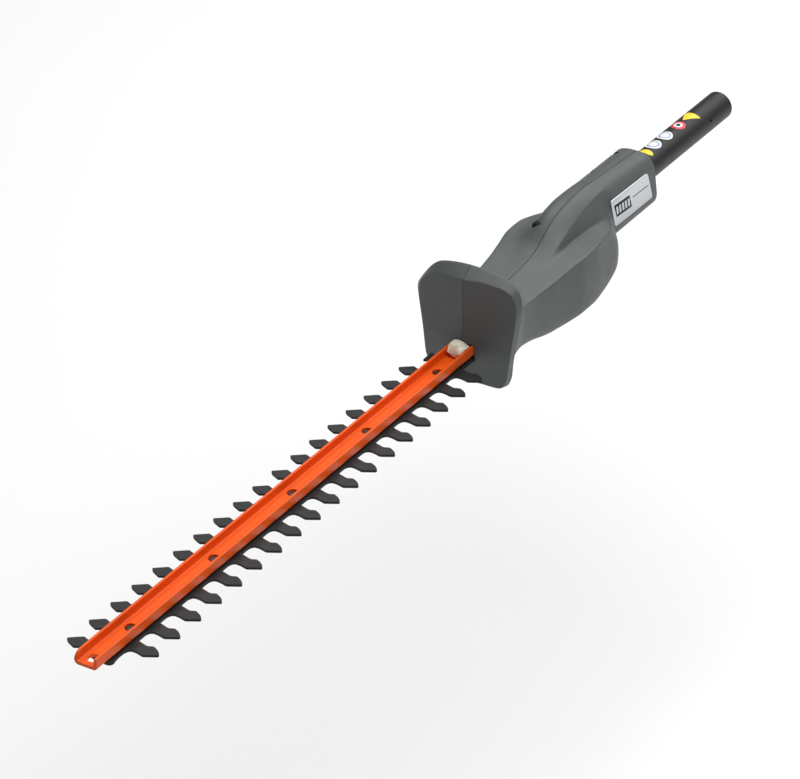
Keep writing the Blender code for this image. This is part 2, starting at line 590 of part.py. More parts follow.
def add_gear_case_cover(alloy):
    """The floor of the case, with the lower bearing's seat and a tongue that carries the bar."""
    centre = (0, CRANK_Y, 0)
    seat = BEARING_R + GAP
    floor_top = CASE_SPLIT_Z - GAP
    plate = [(5.4, COVER_BOTTOM_Z), (CASE_R, COVER_BOTTOM_Z), (CASE_R, floor_top), (seat + 1.6, floor_top),
             (seat + 1.6, -23.4), (seat, -23.4), (seat, -30.4), (5.4, -30.4)]
    cover = add_object("gear_case_cover", lathe(plate, "Z", centre, 32, closed=True), alloy)
    half = BAR_HALF - BAR_WALL - GAP
    tongue = box((-half, -342.0, BAR_FLOOR_Z + GAP), (half, -297.0, -29.6))
    boolean(cover, add_cutter("cover_tongue", tongue), "UNION")
    holes = bmesh.new()
    for y in BAR_SCREWS_Y:
        rod("Z", (0, y, 0), BAR_SCREW_HOLE_R, BAR_FLOOR_Z - 2, -26, 12, holes)
    boolean(cover, add_cutter("tongue_holes", holes))


def add_case_screws(steel):
    shank_r = BAR_SCREW_HOLE_R - 0.35
    low = BAR_UNDER_Z + 0.4
    profile = [(0, low), (shank_r, low), (shank_r, -29.3), (4.2, -29.3), (4.2, -26.4), (0, -26.4)]
    for i, y in enumerate(BAR_SCREWS_Y, start=1):
        add_object(f"bar_screw_{i}", lathe(profile, "Z", (0, y, 0), 12), steel)


# ---------------------------------------------------------------- boom tube and drive shaft

def add_tube(finish):
    wall = ring("Y", (0, 0, 0), TUBE_R - TUBE_WALL, TUBE_R, TUBE_FRONT_Y, 0.0, 32)
    tube = add_object("boom_tube", wall, finish)
    holes = rod("Z", (0, BUTTON_Y, 0), BUTTON_R + GAP, -20, -6, 16)
    angle = math.radians(PIN_HOLE_DEG)
    turn = [2 * math.pi * i / 10 for i in range(10)]
    point = [(PIN_HOLE_R * math.cos(a), PIN_HOLE_R * math.sin(a)) for a in turn]
    outward = Vector((math.cos(angle), 0, math.sin(angle)))
    across = Vector((-math.sin(angle), 0, math.cos(angle)))
    centre = Vector((0, PIN_HOLE_Y, 0))
    sections = []
    for far in (9, 16):
        sections.append([centre + outward * far + across * u + Vector((0, v, 0)) for u, v in point])
    loft(sections, holes)
    boolean(tube, add_cutter("tube_holes", holes))


def add_drive_shaft(steel, bronze):
    """A round shaft with a square end, carried by two bushings in the tube."""
    sides = 16
    turn = [2 * math.pi * i / sides + math.pi / 4 for i in range(sides)]
    sections = []
    for y in (SHAFT_FRONT_Y, -24.0):
        sections.append([(SHAFT_R * math.cos(a), y, -SHAFT_R * math.sin(a)) for a in turn])
    for y in (-23.0, DRIVE_END_Y):
        square = []
        for a in turn:
            reach = DRIVE_SQUARE / max(abs(math.cos(a)), abs(math.sin(a)))
            square.append((reach * math.cos(a), y, -reach * math.sin(a)))
        sections.append(square)
    add_object("drive_shaft", loft(sections), steel, (0, 0, 0))
    add_object("shaft_coupler", ring("Y", (0, 0, 0), SHAFT_R + GAP, 7.2, *COUPLER_Y, 16), steel)
    for i, y in enumerate(SHAFT_BUSHINGS_Y, start=1):
        bush = ring("Y", (0, 0, 0), SHAFT_R + GAP, TUBE_R - TUBE_WALL - GAP, y, y + SHAFT_BUSHING_LONG, 24)
        add_object(f"shaft_bushing_{i}", bush, bronze)


def add_lock_button(steel):
    """A sprung button in the tube's underside: it goes up into the tube when it is pressed."""
    profile = [(0, -8.6), (4.6, -8.6), (4.6, -9.5), (BUTTON_R, -9.5), (BUTTON_R, -15.4), (2.4, -16.6),
               (0, -17.0)]
    add_object("lock_button", lathe(profile, "Z", (0, BUTTON_Y, 0), 16), steel, (0, BUTTON_Y, 0))
    # A strip that lies on the tube's wall at its far end and rises over the button's flange
    route = [(-33.5, -8.0), (-42.5, -8.0), (-50.0, -8.8), (-58.0, -10.0), (-76.0, -10.0)]
    strip = [(y, z) for y, z in route] + [(y, z + SPRING_THICK) for y, z in reversed(route)]
    sections = [[(x, y, z) for y, z in strip] for x in (-SPRING_HALF, SPRING_HALF)]
    add_object("button_spring", loft(sections), steel)


# ---------------------------------------------------------------- housing

def key_points(y, points, side):
    """A station's key points on one side."""
    override = LEFT_HUMP.get(y, {}) if side < 0 else {}
    return [override.get(i, point) for i, point in enumerate(points)]


def outward_offset(points, distance):
    """Moves each (x, z) along its own normal, away from the inside of the section."""
    moved = []
    last = len(points) - 1
    for i, (x, z) in enumerate(points):
        before = points[max(i - 1, 0)]
        after = points[min(i + 1, last)]
        along = Vector((after[0] - before[0], after[1] - before[1])).normalized()
        normal = Vector((-along.y, along.x))
        if i in (0, last):
            moved.append((x, z + normal.y * distance))
        else:
            moved.append((x + normal.x * distance, z + normal.y * distance))
    return moved


def half_section(y, points, side, seam=SEAM):
    """A closed half section at one y: round the outside, and straight down the seam."""
    top = (seam, points[0][1])
    bottom = (seam, points[-1][1])
    outline = [top] + [(max(x, seam + 0.2), z) for x, z in points[1:-1]] + [bottom]
    return [(side * x, y, z + BLADE_DATUM_Z) for x, z in outline]


def guard_sections(side):
    """The guard plate from its rear outline to the prow of its front face."""
    rear = REAR_RIGHT if side > 0 else REAR_LEFT
    face = FACE_RIGHT if side > 0 else FACE_LEFT
    sections = []
    for y, inset in ((GUARD_REAR_Y, 0.5), (GUARD_REAR_Y - 1.3, 0.0), (GUARD_REAR_Y - 2.4, 0.2)):
        sections.append(half_section(y, outward_offset(rear, -inset), side))
    prow = []
    for x, y, z in half_section(0, face, side):
        lean = min(abs(x) / GUARD_LEAN_X, 1.0)
        prow.append((x, GUARD_SEAM_Y + (GUARD_EDGE_Y - GUARD_SEAM_Y) * lean, z))
    return sections + [prow]


def shell_outside(side):
    sections = [half_section(y, key_points(y, points, side), side) for y, *points in SECTIONS]
    return loft(sections + guard_sections(side))


def shell_cavities(side):
    """Two hollows, before and behind the bulkhead that grips the gear case's tunnel."""
    chambers = bmesh.new()
    front = []
    for y, *points in SECTIONS:
        if -359.5 <= y <= -211.0:
            front.append((y, key_points(y, points, side)))
    front.append((-379.0, front[-1][1]))
    rear = [(y, key_points(y, points, side)) for y, *points in SECTIONS if y > -203.0]
    rear[0] = (NECK_REAR_Y - 4.5, rear[0][1])
    rear[-1] = (-201.0, rear[-1][1])
    for chamber in (front, rear):
        sections = []
        for y, points in chamber:
            sections.append(half_section(y, outward_offset(points, -SHELL_WALL), side, seam=-5.0))
        loft(sections, chambers)
    return add_cutter(f"chambers_{side}", chambers)


def screw_bosses(side):
    bosses = bmesh.new()
    for y, height in HOUSING_SCREWS:
        low, high = sorted((side * -6.0, side * 60.0))
        rod("X", (0, y, height + BLADE_DATUM_Z), SCREW_BOSS_R, low, high, 12, bosses)
    return add_cutter(f"bosses_{side}", bosses)


def shell_openings(side):
    """Everything cut through a shell: bar and blade slots, the tube's bore and the screws' seats."""
    bar = BAR_HALF + 0.5
    rim = RIM_X + 0.7
    shelf = BAR_UNDER_Z - 0.4
    half = [(rim, LOWER_BOTTOM_Z - 0.8), (rim, shelf), (bar, shelf), (bar, BAR_TOP_Z + 0.5)]
    slot = half + [(-x, z) for x, z in reversed(half)]
    slot_sections = [[(x, y, z) for x, z in slot] for y in (GUARD_SEAM_Y - 5, SLOT_REAR_Y)]
    cutter = add_cutter(f"guard_slot_{side}", loft(slot_sections))
    bores = bmesh.new()
    rod("Y", (0, 0, 0), TUBE_R + GAP + 0.1, GRIP_FRONT_Y, NECK_REAR_Y + 6, 32, bores)
    grip = add_cutter(f"tube_bore_{side}", bores)
    tunnel_rod = rod("Y", (0, 0, 0), SOCKET_R + GAP + 0.1, TUNNEL_BORE_Y, GRIP_FRONT_Y - 0.2, 32)
    tunnel = add_cutter(f"tunnel_bore_{side}", tunnel_rod)
    holes = bmesh.new()
    for y, height in HOUSING_SCREWS:
        centre = (0, y, height + BLADE_DATUM_Z)
        if side > 0:
            rod("X", centre, SCREW_SHANK_R + GAP, -5, 10.6, 12, holes)
        else:
            shank = SCREW_SHANK_R + GAP
            head = SCREW_HEAD_R + GAP
            profile = [(0, 5), (shank, 5), (shank, -9.7), (head, -9.7), (head, -60), (0, -60)]
            lathe(profile, "X", centre, 12, bm=holes)
    return [cutter, grip, tunnel, add_cutter(f"screw_holes_{side}", holes)]


def add_housing(finish):
    for side, name in ((1, "housing_right"), (-1, "housing_left")):
        shell = add_object(name, shell_outside(side), finish)
        chambers = shell_cavities(side)
        boolean(chambers, screw_bosses(side))
        boolean(shell, chambers)
        for cutter in shell_openings(side):
            boolean(shell, cutter)


def add_housing_screws(steel):
    profile = [(0, 10.2), (SCREW_SHANK_R, 10.2), (SCREW_SHANK_R, -10.0), (SCREW_HEAD_R, -10.0),
               (SCREW_HEAD_R, -12.6), (1.4, -12.6), (1.2, -11.2), (0, -11.2)]
    for i, (y, height) in enumerate(HOUSING_SCREWS, start=1):
        centre = (0, y, height + BLADE_DATUM_Z)
        add_object(f"housing_screw_{i}", lathe(profile, "X", centre, 10), steel)


def add_label(finish):
    """A thin plate on the sloping right side of the neck."""
    points = []
    for y, height in LABEL_CORNERS:
        points.append((LABEL_X - (height - LABEL_FOOT) * LABEL_SLOPE, y, height + BLADE_DATUM_Z))
    sections = [[(x + lift, y, z) for x, y, z in points] for lift in (0.35, 0.95)]
    add_object("name_label", loft(sections), finish)


# ---------------------------------------------------------------- assembly

def clear_scene():
    for existing in list(bpy.data.objects):
        bpy.data.objects.remove(existing, do_unlink=True)


def build():
    clear_scene()
    finish = finishes()
    add_housing(finish["housing"])
    add_housing_screws(finish["steel"])
    add_label(finish["label"])
    add_tube(finish["tube"])
    add_drive_shaft(finish["steel"], finish["bronze"])
    add_lock_button(finish["steel"])
    add_gear_case(finish["case"])
    add_gear_case_cover(finish["case"])
    add_case_screws(finish["steel"])
    add_bearings(finish["steel"])
    add_gears(finish["steel"])
    add_crankshaft(finish["steel"])
    add_blades(finish["blade"])
    add_guide_bar(finish["bar"])
    add_blade_fasteners(finish["steel"])
    add_felt_wiper(finish["felt"])


build()
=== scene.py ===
"""The looks of a hedge trimmer attachment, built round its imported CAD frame.

Lengths are in millimetres until a mesh is made, and a height is z in the part's own frame:
the origin is the centre of the boom tube's open end, +Y runs out of it and +Z is up.
"""
import math

import bmesh
import bpy
import numpy as np
from mathutils import Matrix, Vector


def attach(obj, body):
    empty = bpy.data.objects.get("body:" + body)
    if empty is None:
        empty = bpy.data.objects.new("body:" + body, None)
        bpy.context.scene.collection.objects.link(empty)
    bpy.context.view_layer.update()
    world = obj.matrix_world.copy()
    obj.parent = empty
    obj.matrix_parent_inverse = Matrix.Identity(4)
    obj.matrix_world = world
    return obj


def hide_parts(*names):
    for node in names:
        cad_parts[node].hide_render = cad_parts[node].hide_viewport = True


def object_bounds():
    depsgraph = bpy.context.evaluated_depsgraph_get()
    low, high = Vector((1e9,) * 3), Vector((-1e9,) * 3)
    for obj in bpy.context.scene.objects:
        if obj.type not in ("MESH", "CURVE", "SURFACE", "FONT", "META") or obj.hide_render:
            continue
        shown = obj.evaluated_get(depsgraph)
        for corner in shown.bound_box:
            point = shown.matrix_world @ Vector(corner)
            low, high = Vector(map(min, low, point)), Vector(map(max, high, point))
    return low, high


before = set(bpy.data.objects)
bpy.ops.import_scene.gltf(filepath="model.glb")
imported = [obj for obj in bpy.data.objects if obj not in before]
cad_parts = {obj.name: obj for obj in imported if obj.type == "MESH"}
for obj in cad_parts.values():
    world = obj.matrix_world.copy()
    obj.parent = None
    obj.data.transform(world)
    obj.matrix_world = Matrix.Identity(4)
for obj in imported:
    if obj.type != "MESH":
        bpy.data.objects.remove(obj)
cad_low, cad_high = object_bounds()

MM = 0.001
SEAM = 0.15                  # half the gap between the housing's two shells
DATUM_Z = -38.5              # housing heights are given above this plane, the top of the blades

TUBE_R = 12.7
TUBE_WALL = 1.6
TUBE_FRONT_Y = -204.0
BUTTON_Y = -38.0
BUTTON_R = 3.6
PIN_HOLE_R = 1.6
PIN_HOLE_Y = -35.4
PIN_HOLE_DEG = 24            # above the tube's right side
SHAFT_R = 4.0
SHAFT_FRONT_Y = -190.0
DRIVE_SQUARE = 2.4           # half the width of the shaft's square end
DRIVE_END_Y = -2.0

TOOTH_PITCH = 23.63
TEETH_PER_SIDE = 18
FRONT_TOOTH_Y = -841.0
# (distance from the centre line, y from the tooth's pitch, corner radius), front flank to rear flank
RIGHT_TOOTH = [(9.8, -10.8, 2.5), (12.0, -7.0, 3.0), (17.4, -6.9, 1.6), (22.5, -7.7, 1.2), (32.6, -1.3, 2.2),
               (28.6, 2.3, 2.5), (23.4, 4.1, 1.0), (19.4, 1.8, 1.4), (9.8, 3.4, 0.6)]
LEFT_TOOTH = [(9.8, 0.2, 0.6), (20.3, -0.6, 1.6), (23.3, -2.8, 1.2), (30.4, -0.4, 2.2), (33.0, 1.6, 1.9),
              (23.5, 9.5, 1.2), (18.8, 8.2, 1.6), (12.4, 8.2, 3.0), (9.8, 12.2, 2.5)]
# (x, y from the front tooth's pitch, corner radius) round the blades' front end
NOSE = [(-9.6, -3.6, 1.0), (-4.0, -4.6, 1.5), (3.0, -4.8, 2.0), (8.8, -4.4, 2.4), (11.2, -1.6, 2.0),
        (10.2, 2.0, 2.0), (9.6, 7.0, 2.0)]
STUB_TOOTH_X = 23.0          # the rearmost left tooth stops short, inside the guard
RIM_X = 9.8
BLADE_TOP_Z = -38.5
BLADE_THICK = 1.0
LOWER_TOP_Z = -39.75
LOWER_BOTTOM_Z = -40.75
STROKE = TOOTH_PITCH / 4
BLADE_HOLES_Y = [-809.7 + 94.5 * i for i in range(5)]
BUSH_R = 4.5
BUSH_BORE = 3.55
SLOT_R = 4.8
SLOT_HALF = STROKE + 0.6
BLADE_EDGE = 0.18            # how far a blade's edges are softened

BAR_HALF = 9.25
BAR_WALL = 2.2
BAR_TOP_Z = -27.1
BAR_FLOOR_Z = -34.4
BAR_UNDER_Z = -37.3
BAR_FRONT_Y = -858.4
BAR_SKEW = 0.9               # the bar's front end is cut slightly askew
BAR_REAR_Y = -304.0
BAR_HOLE_R = 4.2
TIP_HOLE_Y = -850.0
BAR_SCREWS_Y = (-334.0, -317.0)
BAR_SCREW_HOLE_R = 2.5
EAR_LONG = 9.5               # the rounded front end of the bar's left wall
EAR_TALL = 6.6

CRANK_Y = -267.0
YOKE_HALF_X = 18.5
YOKE_HALF_Y = 24.6
YOKE_CORNER = 5.0
YOKE_OPEN_X = STROKE + 8.6
YOKE_OPEN_Y = 2 * STROKE + 8.6
YOKE_CUT = 4.0               # how far the window's corners are cut across

GUARD_REAR_Y = -383.5
GUARD_EDGE_Y = -391.0
GUARD_SEAM_Y = -396.5
GUARD_LEAN_X = 45.4          # the front face falls back from its seam up to here
SMOOTH_FRONT_Y = -381.5      # the rows are smoothed along Y up to here
NECK_REAR_Y = -136.0
NECK_FILLET = 2.6
GRIP_R = 13.1                # the neck's bore round the boom tube
GRIP_FRONT_Y = -186.0
TUNNEL_BORE_R = 15.2
TUNNEL_BORE_Y = -225.0
SLOT_REAR_Y = -376.0         # the bar and the blades enter the guard in front of this
SHELL_WALL = 2.5
BOSS_R = 4.4
SCREW_HOLE_R = 2.1
SCREW_HEAD_R = 3.2
SCREW_SHANK_R = 1.8
SCREW_SEAT_R = 3.5
SCREW_SEAT_X = -9.7
# (y, height above the datum) of each housing screw
HOUSING_SCREWS = [(-185.0, 56.0), (-148.0, 55.6), (-150.0, 19.8), (-360.0, 24.0), (-311.0, 31.0),
                  (-222.0, 5.0)]
# (x, y) of the notch in the left shell's slope, seen from above
NOTCH = [(-22.8, -262.2), (-6.6, -272.8), (-14.4, -274.8)]

# Housing sections from the neck's rear face forward: y, then (x, height) from the crown down to
# the keel: crown, crown edge, shoulder, valley, inner deck, crease, upper side, lower side, sill,
# bilge, keel edge, keel.
SECTIONS = [
    (-136.0, (0, 60), (8, 59.6), (12.5, 57), (17.2, 50), (18.3, 44), (19.2, 38), (20.2, 30),
     (20.8, 25.5), (20.5, 21), (19, 17.2), (16.5, 15.2), (0, 15)),
    (-170.0, (0, 62.3), (8, 61.7), (12.7, 58.8), (17.0, 51.5), (18.2, 45), (19.2, 38), (20.3, 29.5),
     (20.8, 25), (20.5, 21), (19, 17.2), (16.5, 15.3), (0, 15.1)),
    (-202.5, (0, 64.3), (7.8, 63.4), (13, 59.8), (16.9, 52.5), (18.1, 45.5), (19.3, 37.5), (20.4, 29.5),
     (20.8, 25), (20.6, 21), (19.3, 17.3), (16, 15.4), (0, 15.2)),
    (-205.5, (0, 64.6), (7.4, 63.6), (12.4, 60.2), (17.2, 50), (18.1, 44), (19.4, 36), (20.7, 26.5),
     (21.6, 14), (19.8, 9), (17, 5.5), (12, 3.5), (0, 3)),
    (-211.0, (0, 65.2), (6.5, 63.9), (11.8, 61.4), (17.6, 44.5), (19.0, 40), (21.5, 34.5), (27, 24),
     (28.4, 8), (25.5, 1.5), (21, -2.5), (15, -4.5), (0, -5)),
    (-221.0, (0, 65.6), (6.3, 63.8), (11.6, 60.4), (17.4, 41.0), (20.0, 38.8), (27, 35.4), (34.3, 24),
     (34.5, 4), (32, -3), (27, -7.5), (20, -9.5), (0, -10)),
    (-231.0, (0, 65.5), (6.2, 63.0), (11.6, 58.5), (16.8, 40.8), (19.6, 39.8), (30.8, 37.4), (36.5, 24),
     (36.6, 2), (34, -6), (29, -10.4), (22, -12.2), (0, -12.5)),
    (-241.0, (0, 64.9), (6.1, 61.9), (11.8, 56.4), (16.4, 40.8), (19.2, 40.4), (33.4, 39.5), (37.3, 24),
     (37.2, 0), (35, -9), (30.5, -13.6), (24, -15.2), (0, -15.5)),
    (-261.0, (0, 61.3), (6.2, 57.6), (12.9, 51.4), (16.4, 41.0), (19.0, 41.4), (37.4, 41.8), (39, 24),
     (38.6, -1), (37, -11), (32, -16.2), (25, -17.8), (0, -18)),
    (-276.0, (0, 53.6), (6.5, 51.2), (13.8, 47.2), (17.0, 40.8), (19.4, 40.9), (37.6, 41.2), (39, 24),
     (38.6, -1), (37, -11), (32, -16.2), (25, -17.8), (0, -18)),
    (-291.0, (0, 43.2), (6.5, 42.9), (13.0, 42.0), (16.6, 40.0), (19.5, 39.4), (35.2, 39.2), (36.7, 24),
     (36.4, 0), (35, -11), (30, -16.6), (23, -18.2), (0, -18.5)),
    (-311.0, (0, 37.8), (4.2, 37.6), (8.2, 37.2), (12, 36.8), (17, 36.5), (32.6, 35.8), (34, 23),
     (33.7, 1), (32, -10), (27.5, -15.8), (21, -17.4), (0, -17.8)),
    (-341.0, (0, 35.4), (5, 35.3), (9, 35.1), (13, 34.9), (18, 34.6), (30.1, 33.8), (31.4, 22),
     (31.2, 5), (30, -3.5), (26, -8.6), (19, -11.4), (0, -12)),
    (-359.0, (0, 36.2), (5, 36.1), (9.5, 36), (14, 35.8), (19, 35.6), (31.2, 35), (32.2, 23),
     (31.9, 8), (30.8, 0), (27, -5.6), (19, -9.4), (0, -10)),
    (-368.5, (0, 41.5), (6, 41.4), (12, 41.2), (17.5, 41), (23, 40.8), (36, 40.4), (36.4, 26),
     (33.6, 8), (31.6, -2), (28, -8), (21, -11.2), (0, -11.8)),
    (-376.0, (0, 50.5), (8, 50.3), (15, 50), (21.5, 49.6), (28, 49), (40.2, 47), (39.6, 30),
     (35.2, 8), (33, -4), (29, -10.5), (23, -13.6), (0, -14.2)),
    (-381.0, (0, 62), (12, 61.8), (21.5, 61.2), (28.5, 60), (35, 58), (44.4, 53), (43.4, 33),
     (37.4, 8), (35.2, -7), (32, -14.4), (26, -18), (0, -18.6)),
]
CORNER_R = [0, 6, 3.6, 2.6, 3, 2.2, 12, 12, 6, 6, 6, 0]
RIDGE_Y = (-295.0, -208.0)    # the right shell's shoulder is a crisp ridge along here
RIDGE_R = 1.3
# The guard's rear outline and its front face, from the crown round to the keel
REAR_RIGHT = [(0, 77.3), (14.7, 77.6), (29.4, 76), (37.8, 73.2), (44.6, 68), (48.0, 57.2), (46.6, 45),
              (42.8, 20), (39.0, 0), (38.4, -14), (33.6, -25), (0, -24.4)]
REAR_LEFT = [(0, 77.3), (9.8, 76.3), (21.6, 74), (30.2, 71), (37.6, 64.2), (46.2, 51.6), (50.8, 43.0),
             (46.2, 14), (43.8, -6.8), (41.6, -18), (33, -24.8), (0, -24.4)]
FACE_RIGHT = [(0, 70.2), (14.7, 71.8), (26, 71.4), (35, 70.4), (42.4, 66.8), (46.2, 56.5), (45.0, 40),
              (41.0, 12), (39.2, -4), (37.6, -14.5), (33.4, -22.4), (0, -22)]
FACE_LEFT = [(0, 70.2), (8.9, 68.6), (20, 66.6), (30.5, 64.2), (38.2, 58.4), (44.4, 50.0), (45.2, 36),
             (41.0, 10), (39.4, -6), (38.2, -16), (32, -22), (0, -22)]
GUARD_CORNER_R = [0, 9, 9, 9, 9, 9, 9, 14, 9, 6, 6, 0]
LEFT_NECK = {2: (16.6, 57), 3: (20.1, 51.5), 4: (20.5, 44.5), 5: (20.6, 38), 6: (20.8, 30)}
# The left shell's shoulder is fuller, and its crown stays flat past the neck: key points by station
LEFT_HUMP = {
    -136.0: LEFT_NECK,
    -170.0: LEFT_NECK,
    -202.5: LEFT_NECK,
    -205.5: {1: (8.4, 63.7), 2: (16.4, 57.3), 3: (20.1, 50.5), 4: (20.8, 43), 5: (21.2, 36)},
    -211.0: {1: (9.2, 64.0), 2: (15.6, 58.4), 3: (19.8, 48.5), 4: (21.0, 42), 5: (23.5, 35.5)},
    -221.0: {1: (9.8, 64.4), 2: (14.8, 59.8), 3: (19.0, 46.5), 4: (21.6, 40.4), 5: (28, 36.4)},
    -231.0: {1: (9.8, 64.5), 2: (14.6, 60.4), 3: (18.8, 46.5), 4: (22.4, 40.8)},
    -241.0: {1: (9.8, 64.4), 2: (14.6, 60.4), 3: (19.2, 47.0), 4: (24.4, 41.4)},
    -261.0: {1: (9.4, 61.2), 2: (14.4, 57.0), 3: (20.4, 47.0), 4: (27.0, 42.6)},
    -276.0: {1: (8.4, 52.8), 2: (14.4, 49.0), 3: (21.0, 44.4), 4: (28.0, 42.0)},
    -291.0: {1: (7.0, 43.1), 2: (13.4, 42.2), 3: (19.6, 41.0), 4: (26.4, 40.2)},
}
CORNER_STEPS = 5
EDGE_STEPS = 3
ROW_SPACING = 2.4

# (y, height above the datum) of the corners of the name plate and of what is printed on it
PLATE = [(-208.0, 51.6), (-150.5, 50.4), (-146.0, 26.2), (-204.8, 27.0)]
PLATE_BLOCK = [(-204.2, 45.9), (-180.4, 44.6), (-178.0, 33.2), (-201.6, 34.3)]
PLATE_LINE = [(-176.0, 40.6), (-151.0, 40.1), (-150.9, 39.4), (-175.9, 39.9)]
PLATE_MARKS = 5
PLATE_MARK_SPACING = 4.4

# Stage, in metres and watts
FLOOR_DROP = 0.25            # the floor takes only a faint shadow from so far below
FLOOR_SIZE = 9.0
FLOOR_STEPS = 12
WORLD_LIGHT = 0.12
CAMERA_PLACE = (1.12991, -2.07786, 1.31845)
CAMERA_DEGREES = (35.303, 34.432, -0.909)    # azimuth, elevation, roll
CAMERA_LENS = 140.24


# ---------------------------------------------------------------- materials

def ramp(tree, source, low, high, low_value, high_value):
    """Maps a 0..1 source onto a range of values."""
    made = tree.nodes.new("ShaderNodeMapRange")
    made.inputs["From Min"].default_value = low
    made.inputs["From Max"].default_value = high
    made.inputs["To Min"].default_value = low_value
    made.inputs["To Max"].default_value = high_value
    tree.links.new(source, made.inputs["Value"])
    return made.outputs["Result"]


def noise(tree, coords, scale, detail=2.0, rough=0.5, stretch=None):
    vector = coords
    if stretch is not None:
        mapping = tree.nodes.new("ShaderNodeMapping")
        mapping.inputs["Scale"].default_value = stretch
        tree.links.new(coords, mapping.inputs["Vector"])
        vector = mapping.outputs["Vector"]
    made = tree.nodes.new("ShaderNodeTexNoise")
    made.inputs["Scale"].default_value = scale
    made.inputs["Detail"].default_value = detail
    made.inputs["Roughness"].default_value = rough
    tree.links.new(vector, made.inputs["Vector"])
    return made.outputs["Fac"]


def material(name, colour, roughness, metallic=0.0, shade=0.08, shade_scale=40.0,
             grain=(900.0, 0.1, 0.00015), rough_range=0.08, stretch=None, tint=None, specular=0.5,
             sheen=None):
    """A procedural finish: colour varied by noise, roughness by finer noise, and a bump grain."""
    made = bpy.data.materials.new(name)
    made.use_nodes = True
    tree = made.node_tree
    shader = tree.nodes["Principled BSDF"]
    shader.inputs["Metallic"].default_value = metallic
    shader.inputs["Specular IOR Level"].default_value = specular
    if sheen is not None:
        shader.inputs["Sheen Weight"].default_value = sheen
        shader.inputs["Sheen Roughness"].default_value = 0.6
    coords = tree.nodes.new("ShaderNodeTexCoord").outputs["Object"]
    mix = tree.nodes.new("ShaderNodeMix")
    mix.data_type = "RGBA"
    other = tint or colour
    mix.inputs["A"].default_value = (*[c * (1 - shade) for c in colour], 1)
    mix.inputs["B"].default_value = (*[c * (1 + shade) for c in other], 1)
    wide = noise(tree, coords, shade_scale, 4.0, 0.55, stretch)
    tree.links.new(ramp(tree, wide, 0.3, 0.7, 0.0, 1.0), mix.inputs["Factor"])
    tree.links.new(mix.outputs["Result"], shader.inputs["Base Color"])
    rough = noise(tree, coords, 120.0, 3.0, 0.6, stretch)
    low = max(roughness - rough_range, 0.02)
    tree.links.new(ramp(tree, rough, 0.3, 0.7, low, roughness + rough_range), shader.inputs["Roughness"])
    scale, strength, distance = grain
    bump = tree.nodes.new("ShaderNodeBump")
    bump.inputs["Strength"].default_value = strength
    bump.inputs["Distance"].default_value = distance
    tree.links.new(noise(tree, coords, scale, 2.0, 0.6, stretch), bump.inputs["Height"])
    tree.links.new(bump.outputs["Normal"], shader.inputs["Normal"])
    return made


HOUSING = material("housing_plastic_moulded", (0.082, 0.092, 0.091), 0.50, shade=0.035, shade_scale=26.0,
                   grain=(1500.0, 0.22, 0.0002), rough_range=0.05, specular=0.42)
ORANGE = material("bar_powder_coat", (0.74, 0.092, 0.006), 0.34, shade=0.05, shade_scale=18.0,
                  grain=(620.0, 0.10, 0.0002), rough_range=0.04, specular=0.22)
BLADE = material("blade_oxide_steel", (0.020, 0.021, 0.021), 0.52, shade=0.16, shade_scale=70.0,
                 grain=(1100.0, 0.16, 0.0001), rough_range=0.09, stretch=(1.0, 4.0, 1.0), specular=0.3)
STEEL = material("bright_zinc_steel", (0.52, 0.52, 0.53), 0.30, metallic=1.0, shade=0.06, shade_scale=160.0,
                 grain=(900.0, 0.10, 0.0001), rough_range=0.08)
# Painted shade: the screws are coloured near black so that their ends read as shadow at the bottom of the
# bar's holes
SHADED_SCREW_STEEL = material("screw_steel_painted_shade", (0.060, 0.056, 0.054), 0.36, metallic=0.75, shade=0.12,
                      shade_scale=240.0, grain=(1200.0, 0.12, 0.0001), rough_range=0.08)
ALUMINIUM = material("cast_aluminium_blasted", (0.50, 0.51, 0.52), 0.52, metallic=1.0, shade=0.07,
                     shade_scale=90.0, grain=(800.0, 0.35, 0.0003), rough_range=0.09)
TUBE = material("tube_black_paint", (0.016, 0.016, 0.017), 0.46, shade=0.10, shade_scale=30.0,
                grain=(700.0, 0.08, 0.0001), rough_range=0.05, specular=0.40)
FELT = material("felt_fibres", (0.78, 0.68, 0.49), 0.95, shade=0.16, shade_scale=220.0,
                grain=(1300.0, 0.9, 0.0006), rough_range=0.03, tint=(0.86, 0.80, 0.66), sheen=0.3,
                specular=0.2)
LABEL = material("label_silver_film", (0.60, 0.62, 0.65), 0.32, metallic=0.25, shade=0.03, shade_scale=60.0,
                 grain=(2000.0, 0.05, 0.0001), rough_range=0.04, stretch=(1.0, 0.15, 4.0))
LABEL_DARK = material("label_dark_ink", (0.012, 0.014, 0.015), 0.55, shade=0.08, shade_scale=150.0,
                      grain=(2000.0, 0.05, 0.0001), rough_range=0.04, specular=0.2)
BRONZE = material("sintered_bronze", (0.45, 0.30, 0.14), 0.42, metallic=1.0, shade=0.10, shade_scale=200.0,
                  grain=(1500.0, 0.25, 0.0002), rough_range=0.08)
YELLOW = material("decal_yellow", (0.84, 0.62, 0.03), 0.35, shade=0.04, shade_scale=150.0,
                  grain=(1500.0, 0.04, 0.0001), rough_range=0.03)
RED = material("decal_red", (0.60, 0.045, 0.055), 0.35, shade=0.05, shade_scale=150.0,
               grain=(1500.0, 0.04, 0.0001), rough_range=0.03)
PALE = material("decal_white", (0.72, 0.75, 0.78), 0.38, shade=0.03, shade_scale=150.0,
                grain=(1500.0, 0.04, 0.0001), rough_range=0.03)
BLUE = material("decal_blue", (0.16, 0.26, 0.45), 0.36, shade=0.05, shade_scale=150.0,
                grain=(1500.0, 0.04, 0.0001), rough_range=0.03)
FLOOR = material("studio_floor", (0.80, 0.80, 0.80), 0.85, shade=0.004, shade_scale=1.5,
                 grain=(60.0, 0.02, 0.0002), rough_range=0.03, specular=0.15)

